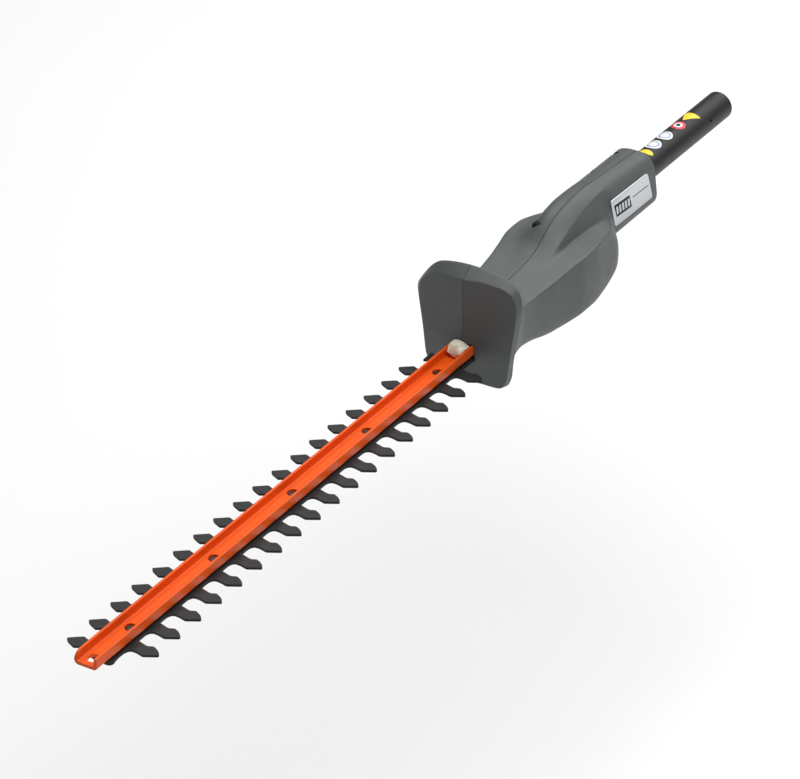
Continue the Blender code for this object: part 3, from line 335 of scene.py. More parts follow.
SLOT_FINISH = {
    "housing_plastic": HOUSING, "bar_paint": ORANGE, "blade_steel": BLADE, "bright_steel": STEEL,
    "cast_aluminium": ALUMINIUM, "tube_paint": TUBE, "felt": FELT, "label_film": LABEL, "bronze": BRONZE,
}


# ---------------------------------------------------------------- making meshes

def add(name, data):
    made = bpy.data.objects.new(name, data)
    bpy.context.scene.collection.objects.link(made)
    return made


def shade(mesh, sharp):
    """Smooth shading, with the edges sharper than this many degrees kept crisp."""
    mesh.shade_smooth()
    mesh.set_sharp_from_angle(angle=math.radians(sharp))


def to_object(name, bm, finish=None, sharp=32.0):
    bmesh.ops.recalc_face_normals(bm, faces=bm.faces)
    bmesh.ops.scale(bm, verts=bm.verts, vec=(MM, MM, MM))
    mesh = bpy.data.meshes.new(name)
    bm.to_mesh(mesh)
    bm.free()
    shade(mesh, sharp)
    if finish is not None:
        mesh.materials.append(finish)
    return add(name, mesh)


def bake(made, sharp=32.0):
    """Applies the modifiers by keeping the evaluated mesh, and marks its crisp edges."""
    graph = bpy.context.evaluated_depsgraph_get()
    mesh = bpy.data.meshes.new_from_object(made.evaluated_get(graph))
    made.modifiers.clear()
    made.data = mesh
    shade(mesh, sharp)
    return made


def cut(made, cutters, sharp=32.0):
    for cutter in cutters:
        step = made.modifiers.new(cutter.name, "BOOLEAN")
        step.operation = "DIFFERENCE"
        step.solver = "EXACT"
        step.object = cutter
    bake(made, sharp)
    for cutter in cutters:
        bpy.data.objects.remove(cutter, do_unlink=True)
    return made


def weigh_normals(made):
    step = made.modifiers.new("weighted", "WEIGHTED_NORMAL")
    step.keep_sharp = True
    step.weight = 60


def piece(made, body, slot, *nodes):
    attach(made, body)
    if nodes:
        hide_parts(*nodes)
    return made


def loft(sections, bm=None, caps=True):
    bm = bm or bmesh.new()
    rings = [[bm.verts.new(point) for point in section] for section in sections]
    count = len(rings[0])
    for near, far in zip(rings, rings[1:]):
        for i in range(count):
            j = (i + 1) % count
            bm.faces.new((near[i], near[j], far[j], far[i]))
    if caps:
        bm.faces.new(rings[0][::-1])
        bm.faces.new(rings[-1])
    return bm


def prism(outline, low, high, bm=None):
    return loft([[(x, y, z) for x, y in outline] for z in (low, high)], bm)


def place(axis, centre, radius, along, angle):
    u = radius * math.cos(angle)
    v = radius * math.sin(angle)
    offset = {"X": (along, u, v), "Y": (v, along, u), "Z": (u, v, along)}[axis]
    return Vector(centre) + Vector(offset)


def lathe(profile, axis, centre=(0, 0, 0), segments=48, closed=False, bm=None, lobes=6):
    """Turns (radius, along) points round an axis. A third number makes that ring lobed."""
    bm = bm or bmesh.new()
    rings = []
    for radius, along, *wave in profile:
        if radius == 0:
            rings.append([bm.verts.new(place(axis, centre, 0, along, 0))] * segments)
            continue
        ring = []
        for i in range(segments):
            angle = 2 * math.pi * i / segments
            reach = radius * (1 + (wave[0] if wave else 0.0) * math.cos(lobes * angle))
            ring.append(bm.verts.new(place(axis, centre, reach, along, angle)))
        rings.append(ring)
    pairs = list(zip(rings, rings[1:]))
    if closed:
        pairs.append((rings[-1], rings[0]))
    for near, far in pairs:
        for i in range(segments):
            j = (i + 1) % segments
            corners = []
            for vert in (near[i], near[j], far[j], far[i]):
                if vert not in corners:
                    corners.append(vert)
            if len(corners) > 2:
                bm.faces.new(corners)
    return bm


def rod(axis, centre, radius, low, high, segments=48, bm=None):
    return lathe([(0, low), (radius, low), (radius, high), (0, high)], axis, centre, segments, bm=bm)


def corner_curve(before, corner, after, radius, most, count):
    """Points of a curve that starts radius before a corner, or at most that share of the edge."""
    before, corner, after = (np.array(p, float) for p in (before, corner, after))
    back = np.linalg.norm(before - corner)
    ahead = np.linalg.norm(after - corner)
    start = corner + (before - corner) / back * min(radius, most * back)
    end = corner + (after - corner) / ahead * min(radius, most * ahead)
    made = []
    for k in range(count):
        t = k / (count - 1)
        made.append((1 - t) ** 2 * start + 2 * t * (1 - t) * corner + t * t * end)
    return made


def rounded(points, radii, steps=5):
    """A closed (x, y) polygon with each corner replaced by a curve that starts radius away from it."""
    made = []
    count = len(points)
    for i, corner in enumerate(points):
        radius = radii[i] if hasattr(radii, "__len__") else radii
        curve = corner_curve(points[i - 1], corner, points[(i + 1) % count], radius, 0.46, steps + 1)
        made += [tuple(p) for p in curve]
    return made


def pchip(t, values, at):
    """Monotone cubic interpolation of each column of values."""
    t = np.asarray(t, float)
    values = np.asarray(values, float)
    step = np.diff(t)[:, None]
    slope = np.diff(values, axis=0) / step
    tangent = np.zeros_like(values)
    ahead, behind = slope[1:], slope[:-1]
    w1 = 2 * step[1:] + step[:-1]
    w2 = step[1:] + 2 * step[:-1]
    same = ahead * behind > 0
    safe_ahead = np.where(same, ahead, 1.0)
    safe_behind = np.where(same, behind, 1.0)
    tangent[1:-1] = np.where(same, (w1 + w2) / (w1 / safe_behind + w2 / safe_ahead), 0.0)
    tangent[0] = slope[0]
    tangent[-1] = slope[-1]
    at = np.asarray(at, float)
    i = np.clip(np.searchsorted(t, at, side="right") - 1, 0, len(t) - 2)
    h = (t[i + 1] - t[i])[:, None]
    u = ((at - t[i]) / (t[i + 1] - t[i]))[:, None]
    return ((2 * u ** 3 - 3 * u ** 2 + 1) * values[i] + (u ** 3 - 2 * u ** 2 + u) * h * tangent[i]
            + (3 * u ** 2 - 2 * u ** 3) * values[i + 1] + (u ** 3 - u ** 2) * h * tangent[i + 1])


# ---------------------------------------------------------------- housing

def outward_offset(points, distance):
    """Moves each (x, z) of a half section along its own normal, away from its inside."""
    points = [np.array(p, float) for p in points]
    moved = []
    last = len(points) - 1
    for i, point in enumerate(points):
        before = points[max(i - 1, 0)]
        after = points[min(i + 1, last)]
        along = (after - before) / max(np.linalg.norm(after - before), 1e-9)
        normal = np.array((-along[1], along[0]))
        if i in (0, last):
            moved.append((point[0], point[1] + normal[1] * distance))
        else:
            moved.append(tuple(point + normal * distance))
    return moved


def round_section(keys, radii):
    """A half section from its twelve key points: corners curved, edges subdivided."""
    made = [np.array(keys[0], float)]
    last = len(keys) - 1
    for i in range(1, last):
        curve = corner_curve(keys[i - 1], keys[i], keys[i + 1], radii[i], 0.47, CORNER_STEPS)
        edge_start = made[-1]
        for k in range(1, EDGE_STEPS):
            made.append(edge_start + (curve[0] - edge_start) * k / EDGE_STEPS)
        made += curve
    edge_start = made[-1]
    final = np.array(keys[last], float)
    for k in range(1, EDGE_STEPS + 1):
        made.append(edge_start + (final - edge_start) * k / EDGE_STEPS)
    return [tuple(p) for p in made]


def close_section(points, side, y, lean=0.0):
    """A closed ring from a half section, with a small chamfer where it meets the seam."""
    chamfer = 0.35
    top_z = points[0][1]
    low_z = points[-1][1]
    outline = [(SEAM, top_z - chamfer), (SEAM + chamfer, top_z)]
    outline += [(max(x, SEAM + chamfer + 0.05), z) for x, z in points[1:-1]]
    outline += [(SEAM + chamfer, low_z), (SEAM, low_z + chamfer)]
    return [(side * x, y + lean * min(abs(x) / GUARD_LEAN_X, 1.0), z + DATUM_Z) for x, z in outline]


def shell_stations(side):
    """(y, keys, radii) along one shell, from the neck's rear to the guard's last rounded row."""
    stations = []
    for y, *keys in SECTIONS:
        if side < 0:
            keys = [LEFT_HUMP.get(y, {}).get(i, key) for i, key in enumerate(keys)]
        radii = list(CORNER_R)
        if side > 0 and RIDGE_Y[0] < y < RIDGE_Y[1]:
            radii[2] = RIDGE_R
        stations.append((y, keys, radii))
    rear = REAR_RIGHT if side > 0 else REAR_LEFT
    for y, inset in ((GUARD_REAR_Y, 0.45), (GUARD_REAR_Y - 1.3, 0.0), (GUARD_REAR_Y - 2.2, 0.2)):
        stations.append((y, outward_offset(rear, -inset), GUARD_CORNER_R))
    return stations


def shell_rows(side):
    stations = shell_stations(side)
    table = []
    for y, keys, radii in stations:
        table.append([y] + [value for key in keys for value in key] + list(radii))
    table = np.array(table)
    lengths = [0.0]
    for a, b in zip(table, table[1:]):
        moved = (b - a)[1:25].reshape(-1, 2)
        travel = math.hypot(b[0] - a[0], float(np.sqrt((moved ** 2).sum(1)).mean()))
        lengths.append(lengths[-1] + travel)
    at = []
    for a, b in zip(lengths, lengths[1:]):
        parts = max(2, round((b - a) / ROW_SPACING))
        at += [a + (b - a) * k / parts for k in range(parts)]
    at.append(lengths[-1])
    rows = []
    for values in pchip(lengths, table, at):
        keys = values[1:25].reshape(-1, 2)
        rows.append((values[0], round_section(keys, values[25:])))
    return rows


def soften(rows, passes=2):
    """Smooths the rows along Y, away from their ends."""
    ys = np.array([y for y, _ in rows])
    grid = np.array([points for _, points in rows])
    stop = int(np.argmax(ys < SMOOTH_FRONT_Y))
    for _ in range(passes):
        middle = grid[1:stop - 1]
        grid[1:stop - 1] = 0.5 * middle + 0.25 * (grid[:stop - 2] + grid[2:stop])
    return [(y, [tuple(p) for p in points]) for y, points in zip(ys, grid)]


def shell_outside(side):
    rows = soften(shell_rows(side))
    ring = []
    fillet = NECK_FILLET
    rear = rows[0][1]
    for degrees in (90, 68, 45, 22):
        turn = math.radians(degrees)
        inset = outward_offset(rear, -fillet * (1 - math.cos(turn)))
        ring.append(close_section(inset, side, NECK_REAR_Y - fillet + fillet * math.sin(turn)))
    ring.append(close_section(rear, side, NECK_REAR_Y - fillet))
    for y, points in rows:
        if y < NECK_REAR_Y - fillet - 0.5:
            ring.append(close_section(points, side, y))
    rim = np.array(ring[-1])
    lean = GUARD_EDGE_Y - GUARD_SEAM_Y
    face = round_section(FACE_RIGHT if side > 0 else FACE_LEFT, GUARD_CORNER_R)
    edge = np.array(close_section(face, side, GUARD_SEAM_Y, lean))
    for share in (0.25, 0.5, 0.75, 0.93):
        ring.append([tuple(p) for p in rim + (edge - rim) * share])
    ring.append(close_section(outward_offset(face, -0.12), side, GUARD_SEAM_Y + 0.08, lean))
    ring.append(close_section(outward_offset(face, -0.6), side, GUARD_SEAM_Y, lean))
    return loft(ring)


def inner_section(y, keys, side):
    outline = [(-5.0, keys[0][1])] + [(max(x, 0.4), z) for x, z in keys[1:-1]] + [(-5.0, keys[-1][1])]
    return [(side * x, y, z + DATUM_Z) for x, z in outline]


def shell_cavity(side):
    """The shell's two hollows, less the bosses that its screws stand in."""
    chambers = bmesh.new()
    front = [(y, keys) for y, *keys in SECTIONS if -359.5 <= y <= -211.0]
    front.append((-379.0, front[-1][1]))
    rear = []
    for y, *keys in SECTIONS:
        if y > -203.0:
            if side < 0:
                keys = [LEFT_NECK.get(i, key) for i, key in enumerate(keys)]
            rear.append((y, keys))
    rear[0] = (NECK_REAR_Y - 4.5, rear[0][1])
    rear[-1] = (-201.0, rear[-1][1])
    for chamber in (front, rear):
        loft([inner_section(y, outward_offset(keys, -SHELL_WALL), side) for y, keys in chamber], chambers)
    made = to_object(f"chambers_{side}", chambers)
    bosses = bmesh.new()
    for y, height in HOUSING_SCREWS:
        low, high = sorted((side * -6.0, side * 60.0))
        rod("X", (0, y, height + DATUM_Z), BOSS_R, low, high, 24, bosses)
    return cut(made, [to_object(f"bosses_{side}", bosses)])


def shell_openings(side):
    bar = BAR_HALF + 0.5
    rim = RIM_X + 0.7
    shelf = BAR_UNDER_Z - 0.4
    half = [(rim, LOWER_BOTTOM_Z - 0.8), (rim, shelf), (bar, shelf), (bar, BAR_TOP_Z + 0.5)]
    outline = half + [(-x, z) for x, z in reversed(half)]
    sections = [[(x, y, z) for x, z in outline] for y in (GUARD_SEAM_Y - 5, SLOT_REAR_Y)]
    slot = to_object(f"guard_slot_{side}", loft(sections))
    mouth = GRIP_R + 0.8
    bore = [(0, GRIP_FRONT_Y), (GRIP_R, GRIP_FRONT_Y), (GRIP_R, NECK_REAR_Y - 0.7),
            (mouth, NECK_REAR_Y + 0.1), (mouth, NECK_REAR_Y + 6), (0, NECK_REAR_Y + 6)]
    grip = to_object(f"tube_bore_{side}", lathe(bore, "Y", segments=96))
    tunnel = rod("Y", (0, 0, 0), TUNNEL_BORE_R, TUNNEL_BORE_Y, GRIP_FRONT_Y - 0.2, 64)
    tunnel = to_object(f"tunnel_bore_{side}", tunnel)
    holes = bmesh.new()
    for y, height in HOUSING_SCREWS:
        centre = (0, y, height + DATUM_Z)
        if side > 0:
            rod("X", centre, SCREW_HOLE_R, -5, 10.6, 24, holes)
        else:
            seat = [(0, 5), (SCREW_HOLE_R, 5), (SCREW_HOLE_R, SCREW_SEAT_X), (SCREW_SEAT_R, SCREW_SEAT_X),
                    (SCREW_SEAT_R, -60), (0, -60)]
            lathe(seat, "X", centre, 32, bm=holes)
    cutters = [slot, grip, tunnel, to_object(f"screw_holes_{side}", holes)]
    if side < 0:
        notch = prism(rounded(NOTCH, 0.6, 3), 30 + DATUM_Z, 60 + DATUM_Z)
        cutters.append(to_object("deck_recess", notch))
    return cutters


def build_housing():
    for side, name in ((1, "housing_right"), (-1, "housing_left")):
        shell = to_object(name + "_shell", shell_outside(side), HOUSING)
        cut(shell, [shell_cavity(side)] + shell_openings(side), sharp=38.0)
        weigh_normals(shell)
        piece(shell, "housing", "housing_plastic", name)


def build_housing_screws():
    """Screws driven from the left, each with a domed head and a six-lobed socket."""
    shank = SCREW_SHANK_R
    head = SCREW_HEAD_R
    socket = head * 0.5
    low = -10.0
    high = -12.6
    profile = [(0, 10.2), (shank - 0.4, 10.2), (shank, 9.7), (shank, low), (head - 0.2, low),
               (head, low - 0.25), (head, high + 0.8), (head - 0.3, high + 0.25), (head - 0.9, high),
               (socket + 0.15, high, 0.12), (socket, high + 0.15, 0.16), (socket, high + 1.3, 0.16),
               (head * 0.2, high + 1.65), (0, high + 1.7)]
    for i, (y, height) in enumerate(HOUSING_SCREWS, start=1):
        turned = lathe(profile, "X", (0, y, height + DATUM_Z), 48)
        made = to_object(f"shell_screw_{i}", turned, STEEL, 30.0)
        piece(made, "housing", "bright_steel", f"housing_screw_{i}")


# ---------------------------------------------------------------- name plate

def plate_point(y, height, lift):
    return (20.75 - (height - 25.0) * 0.128 + lift, y, height + DATUM_Z)


def plate_patch(name, corners, radius, low, high, finish):
    """A thin rounded plate on the neck's sloping side, with a softened edge."""
    outline = rounded(corners, radius, 6)
    centre = np.mean(np.array(outline), axis=0)
    rings = []
    edge = min(0.25, (high - low) * 0.6)
    for inset, lift in ((0, low), (0, high - edge), (edge * 0.3, high - edge * 0.3), (edge, high)):
        ring = []
        for y, h in outline:
            away = np.array((y, h)) - centre
            y2, h2 = centre + away * (1 - inset / max(np.linalg.norm(away), 1e-6))
            ring.append(plate_point(y2, h2, lift))
        rings.append(ring)
    return to_object(name, loft(rings), finish, 50.0)


def build_name_plate():
    plate = plate_patch("name_plate", PLATE, 3.0, 0.1, 0.95, LABEL)
    piece(plate, "housing", "label_film", "name_label")
    block = plate_patch("name_plate_block", PLATE_BLOCK, 0.5, 0.9, 1.0, LABEL_DARK)
    piece(block, "housing", "label_film")
    # Plain bars on the dark block, in place of lettering
    for i in range(PLATE_MARKS):
        y = -201.3 + PLATE_MARK_SPACING * i
        drop = 0.3 * i
        bar = [(y, 43.4 - drop), (y + 2.6, 43.3 - drop), (y + 3.0, 36.6 - drop), (y + 0.4, 36.7 - drop)]
        mark = plate_patch(f"name_plate_mark_{i + 1}", bar, 0.4, 1.0, 1.08, LABEL)
        piece(mark, "housing", "label_film")
    line = plate_patch("name_plate_line", PLATE_LINE, 0.3, 0.9, 1.0, LABEL_DARK)
    piece(line, "housing", "label_film")


# ---------------------------------------------------------------- boom tube

def tube_point(arc, y, radius):
    angle = math.pi / 2 - arc / TUBE_R
    return (radius * math.cos(angle), y, radius * math.sin(angle))


def tube_decal(name, outline, finish, centre, lift=0.11):
    """A thin decal wrapped on the tube. The outline is (arc, y) about a centre given the same way."""
    edge = []
    for (a, y), (a2, y2) in zip(outline, outline[1:] + outline[:1]):
        parts = max(1, round(math.hypot(a2 - a, y2 - y) / 0.8))
        edge += [(a + (a2 - a) * i / parts, y + (y2 - y) * i / parts) for i in range(parts)]
    shares = [1.0 - 0.1 * i for i in range(10)] + [0.03]
    layers = [(share, 0.01) for share in reversed(shares)] + [(1.0, lift * 0.6), (0.985, lift)]
    layers += [(share, lift) for share in shares[1:]]
    rings = []
    for share, above in layers:
        ring = []
        for a, y in edge:
            ring.append(tube_point(centre[0] + a * share, centre[1] + y * share, TUBE_R + above))
        rings.append(ring)
    made = to_object(name, loft(rings), finish, 60.0)
    return piece(made, "housing", "tube_paint")


def circle(radius, steps=40):
    turn = [2 * math.pi * i / steps for i in range(steps)]
    return [(radius * math.cos(a), radius * math.sin(a)) for a in turn]


def build_tube():
    wall = TUBE_R - TUBE_WALL
    profile = [(wall, TUBE_FRONT_Y), (TUBE_R, TUBE_FRONT_Y)]
    profile += [(TUBE_R, y) for y in (-160.0, -120.0, -80.0, -40.0, -0.45)]
    profile += [(TUBE_R - 0.15, -0.13), (TUBE_R - 0.5, 0.0), (wall + 0.4, 0.0), (wall + 0.1, -0.12)]
    profile += [(wall, y) for y in (-0.4, -40.0, -80.0, -120.0)]
    tube = to_object("boom_tube_painted", lathe(profile, "Y", segments=96, closed=True), TUBE)
    holes = rod("Z", (0, BUTTON_Y, 0), BUTTON_R + 0.3, -20, -6, 40)
    angle = math.radians(PIN_HOLE_DEG)
    outward = Vector((math.cos(angle), 0, math.sin(angle)))
    across = Vector((-math.sin(angle), 0, math.cos(angle)))
    sections = []
    for far in (9, 16):
        middle = Vector((0, PIN_HOLE_Y, 0)) + outward * far
        sections.append([middle + across * u + Vector((0, v, 0)) for u, v in circle(PIN_HOLE_R, 24)])
    loft(sections, holes)
    cut(tube, [to_object("tube_holes", holes)])
    weigh_normals(tube)
    piece(tube, "housing", "tube_paint", "boom_tube")

    triangle = rounded([(-9.0, 5.8), (8.2, 5.4), (-1.8, -9.6)], 1.8, 5)
    tube_decal("decal_triangle", triangle, YELLOW, (0, -50.5))
    tube_decal("decal_ring", circle(6.6), RED, (-0.9, -69.0))
    tube_decal("decal_ring_centre", circle(4.0), PALE, (-0.9, -69.0), 0.16)
    tube_decal("decal_ring_dot", circle(2.0), LABEL_DARK, (-0.6, -69.0), 0.2)
    for i, (arc, y, radius) in enumerate(((-1.6, -90.0, 7.1), (-2.0, -108.0, 7.3)), start=1):
        tube_decal(f"decal_disc_{i}", circle(radius), PALE, (arc, y))
        tube_decal(f"decal_disc_spot_{i}", circle(radius * 0.74), BLUE, (arc, y), 0.16)
        tube_decal(f"decal_disc_eye_{i}", circle(radius * 0.58), PALE, (arc, y), 0.2)
    patch = [(2.0 * x, y) for x, y in circle(3.2)]
    tube_decal("decal_patch", patch, YELLOW, (0.2, -121.9))


def build_drive_shaft():
    sides = 48
    sections = []
    turn = [2 * math.pi * i / sides + math.pi / 4 for i in range(sides)]
    for y, radius in ((SHAFT_FRONT_Y, SHAFT_R - 0.4), (SHAFT_FRONT_Y + 0.4, SHAFT_R), (-100.0, SHAFT_R),
                      (-24.6, SHAFT_R), (-24.0, SHAFT_R - 0.2)):
        sections.append([(radius * math.cos(a), y, -radius * math.sin(a)) for a in turn])
    for y, half in ((-23.0, DRIVE_SQUARE), (DRIVE_END_Y - 0.6, DRIVE_SQUARE),
                    (DRIVE_END_Y, DRIVE_SQUARE - 0.3)):
        ring = []
        for a in turn:
            reach = min(half / max(abs(math.cos(a)), abs(math.sin(a))), half * 1.33)
            ring.append((reach * math.cos(a), y, -reach * math.sin(a)))
        sections.append(ring)
    shaft = to_object("drive_shaft_ground", loft(sections), STEEL, 28.0)
    piece(shaft, "input_shaft", "bright_steel", "drive_shaft")


def build_lock_button():
    profile = [(0, -8.6), (4.3, -8.6), (4.6, -8.8), (4.6, -9.4), (4.4, -9.5), (BUTTON_R, -9.6),
               (BUTTON_R, -15.2), (3.4, -15.8), (2.9, -16.35), (2.1, -16.75), (1.1, -16.95), (0, -17.0)]
    button = to_object("lock_button_domed", lathe(profile, "Z", (0, BUTTON_Y, 0), 48), STEEL, 34.0)
    piece(button, "lock_button", "bright_steel", "lock_button")


# ---------------------------------------------------------------- blades

def tooth(side, pitch_y, length=None):
    """(x, y, corner radius) round one tooth, from its front flank to its rear flank."""
    made = []
    for x, y, r in RIGHT_TOOTH if side > 0 else LEFT_TOOTH:
        made.append((side * min(x, length or x), pitch_y + y, r))
    return made


def blade_outline():
    """One blade seen from above: nose, right teeth, yoke frame, left teeth."""
    points = [(x, FRONT_TOOTH_Y + y, r) for x, y, r in NOSE]
    for i in range(1, TEETH_PER_SIDE + 1):
        points += tooth(1, FRONT_TOOTH_Y + i * TOOTH_PITCH)
    yoke = [(RIM_X, -YOKE_HALF_Y - 8), (YOKE_HALF_X - YOKE_CORNER, -YOKE_HALF_Y),
            (YOKE_HALF_X, YOKE_CORNER - YOKE_HALF_Y), (YOKE_HALF_X, YOKE_HALF_Y - YOKE_CORNER),
            (YOKE_HALF_X - YOKE_CORNER, YOKE_HALF_Y)]
    points += [(x, CRANK_Y + y, 2.5) for x, y in yoke]
    points += [(-x, CRANK_Y + y, 2.5) for x, y in reversed(yoke)]
    stub_y = FRONT_TOOTH_Y + TEETH_PER_SIDE * TOOTH_PITCH
    points += reversed(tooth(-1, stub_y, STUB_TOOTH_X))
    for i in reversed(range(1, TEETH_PER_SIDE)):
        points += reversed(tooth(-1, FRONT_TOOTH_Y + i * TOOTH_PITCH))
    points += reversed(tooth(-1, FRONT_TOOTH_Y)[1:])
    return rounded([p[:2] for p in points], [p[2] for p in points], 4)


def slot_outline(centre_y, half_length, radius, steps=14):
    points = []
    for end in (-1, 1):
        for i in range(steps + 1):
            angle = math.pi * (i / steps) + (math.pi if end < 0 else 0)
            points.append((radius * math.cos(angle), centre_y + end * half_length + radius * math.sin(angle)))
    return points


def plate_from_outlines(name, outlines, low, high, edge, finish):
    """A flat plate with holes and softened edges, through a filled curve."""
    curve = bpy.data.curves.new(name, "CURVE")
    curve.dimensions = "2D"
    curve.fill_mode = "BOTH"
    curve.extrude = ((high - low) / 2 - edge) * MM
    curve.bevel_depth = edge * MM
    curve.bevel_resolution = 1
    curve.offset = -edge * MM
    for outline in outlines:
        spline = curve.splines.new("POLY")
        spline.points.add(len(outline) - 1)
        for point, (x, y) in zip(spline.points, outline):
            point.co = (x * MM, y * MM, 0, 1)
        spline.use_cyclic_u = True
    holder = add(name + "_curve", curve)
    graph = bpy.context.evaluated_depsgraph_get()
    mesh = bpy.data.meshes.new_from_object(holder.evaluated_get(graph))
    bpy.data.objects.remove(holder, do_unlink=True)
    mesh.transform(Matrix.Translation((0, 0, (low + high) / 2 * MM)))
    bm = bmesh.new()
    bm.from_mesh(mesh)
    bmesh.ops.remove_doubles(bm, verts=bm.verts, dist=2e-6)
    bmesh.ops.recalc_face_normals(bm, faces=bm.faces)
    bm.to_mesh(mesh)
    bm.free()
    shade(mesh, 30.0)
    mesh.materials.clear()
    mesh.materials.append(finish)
    return add(name, mesh)


def build_blades():
    outline = blade_outline()
    slots = [slot_outline(y, SLOT_HALF, SLOT_R) for y in BLADE_HOLES_Y]
    right = [(YOKE_OPEN_X - YOKE_CUT, -YOKE_OPEN_Y), (YOKE_OPEN_X, YOKE_CUT - YOKE_OPEN_Y),
             (YOKE_OPEN_X, YOKE_OPEN_Y - YOKE_CUT), (YOKE_OPEN_X - YOKE_CUT, YOKE_OPEN_Y)]
    window = right + [(-x, y) for x, y in reversed(right)]
    slots.append(rounded([(x, CRANK_Y + y) for x, y in window], 2.0, 4))
    for body, top in (("upper_blade", BLADE_TOP_Z), ("lower_blade", LOWER_TOP_Z)):
        low = top - BLADE_THICK
        made = plate_from_outlines(body + "_ground", [outline] + slots, low, top, BLADE_EDGE, BLADE)
        weigh_normals(made)
        piece(made, body, "blade_steel", body)


# ---------------------------------------------------------------- guide bar and fasteners

def bar_section(inset=0.0):
    """The channel's closed outline as (x, z), counted from the middle of its underside."""
    bend = 3.2
    fillet = 1.7
    lip = 0.6
    half = [(0.0, BAR_UNDER_Z + inset)]
    for i in range(7):
        angle = math.pi / 2 * i / 6
        reach = bend - inset
        half.append((BAR_HALF - bend + reach * math.sin(angle), BAR_UNDER_Z + bend - reach * math.cos(angle)))
    outer = BAR_HALF - inset
    inner = BAR_HALF - BAR_WALL + inset
    top = BAR_TOP_Z - inset
    half += [(outer, -31.0), (outer, top - lip), (outer - 0.08, top - 0.3), (outer - 0.3, top - 0.08),
             (outer - lip, top), (inner + lip, top), (inner + 0.3, top - 0.08), (inner + 0.08, top - 0.3),
             (inner, top - lip)]
    for i in range(6):
        angle = math.pi / 2 * i / 5
        reach = fillet + inset
        x = inner - inset - fillet + reach * math.cos(angle)
        half.append((x, BAR_FLOOR_Z + fillet - reach * math.sin(angle)))
    half.append((0.0, BAR_FLOOR_Z - inset))
    return half + [(-x, z) for x, z in reversed(half[1:-1])]


def build_guide_bar():
    """An upturned channel, open at its front end, where its left wall is rounded off."""
    outline = bar_section()
    sections = []
    for y in (BAR_REAR_Y, -420.0, -600.0, -780.0):
        sections.append([(x, y, z) for x, z in outline])
    for back, inset in ((0.3, 0.0), (0.09, 0.09), (0.0, 0.3)):
        ring = []
        for x, z in bar_section(inset):
            ring.append((x, BAR_FRONT_Y + back + BAR_SKEW * x / BAR_HALF, z))
        sections.append(ring)
    bar = to_object("guide_bar_coated", loft(sections), ORANGE, 40.0)
    front = BAR_FRONT_Y - BAR_SKEW
    rear = front + EAR_LONG
    low = BAR_TOP_Z - EAR_TALL
    ear = [(front - 3, BAR_TOP_Z + 3), (front - 3, low)]
    for i in range(17):
        angle = math.pi / 2 * i / 16
        ear.append((rear - EAR_LONG * math.cos(angle), low + EAR_TALL * math.sin(angle)))
    ear += [(rear + 2, BAR_TOP_Z + 0.02), (rear + 2, BAR_TOP_Z + 3)]
    cutters = [to_object("bar_ear", loft([[(x, y, z) for y, z in ear] for x in (-12.0, -5.6)]))]
    holes = bmesh.new()
    soft = 0.35
    under, over = -40, -33
    hole = [(0, under), (BAR_HOLE_R, under), (BAR_HOLE_R, BAR_FLOOR_Z - soft),
            (BAR_HOLE_R + soft, BAR_FLOOR_Z + 0.01), (BAR_HOLE_R + soft, over), (0, over)]
    for y in [TIP_HOLE_Y] + BLADE_HOLES_Y:
        lathe(hole, "Z", (0, y, 0), 48, bm=holes)
    for y in BAR_SCREWS_Y:
        rod("Z", (0, y, 0), BAR_SCREW_HOLE_R, under, over, 32, holes)
    cutters.append(to_object("bar_holes", holes))
    cut(bar, cutters, sharp=36.0)
    weigh_normals(bar)
    piece(bar, "housing", "bar_paint", "guide_bar")


def build_fasteners():
    """The bushing, washer and screw at each of the bar's blade holes."""
    gap = 0.3
    flange_top = BAR_UNDER_Z - gap
    flange_low = BLADE_TOP_Z + gap
    washer_top = LOWER_BOTTOM_Z - gap
    washer_low = washer_top - 1.1
    head_top = washer_low - gap
    head_low = head_top - 2.6
    flange_r = 6.6
    washer_r = 7.4
    shank_r = 3.2
    head_r = 5.6
    top = BAR_FLOOR_Z - 1.0
    bushing = [(BUSH_BORE, flange_top), (flange_r - 0.2, flange_top), (flange_r, flange_top - 0.15),
               (flange_r, flange_low + 0.15), (flange_r - 0.2, flange_low), (BUSH_R, flange_low),
               (BUSH_R, LOWER_BOTTOM_Z + 0.2), (BUSH_R - 0.2, LOWER_BOTTOM_Z), (BUSH_BORE, LOWER_BOTTOM_Z)]
    washer = [(BUSH_BORE, washer_low), (washer_r - 0.2, washer_low), (washer_r, washer_low + 0.2),
              (washer_r, washer_top - 0.2), (washer_r - 0.2, washer_top), (BUSH_BORE, washer_top)]
    shank_end = [(0, top - 0.7), (1.1, top - 0.7, 0.10), (1.5, top - 0.6, 0.14), (1.7, top - 0.05, 0.12),
                 (2.0, top), (2.8, top), (3.1, top - 0.15), (shank_r, top - 0.4)]
    head = [(shank_r, head_top), (head_r - 0.2, head_top), (head_r, head_top - 0.2), (head_r, head_low + 1.0),
            (5.3, head_low + 0.35), (4.7, head_low + 0.05), (4.2, head_low)]
    socket = [(2.6, head_low, 0.10), (2.4, head_low + 0.2, 0.14), (2.35, head_low + 1.6, 0.14),
              (1.0, head_low + 1.8), (0, head_low + 1.8)]
    # The screws take the near-black steel: painted shade for the bottom of the bar's holes
    kinds = [("bushing", bushing, True, STEEL), ("washer", washer, True, STEEL),
             ("screw", shank_end + head + socket, False, SHADED_SCREW_STEEL)]
    for i, y in enumerate(BLADE_HOLES_Y, start=1):
        for kind, profile, closed, finish in kinds:
            turned = lathe(profile, "Z", (0, y, 0), 48, closed=closed)
            made = to_object(f"{kind}_turned_{i}", turned, finish, 30.0)
            piece(made, "housing", "bright_steel", f"blade_{kind}_{i}")


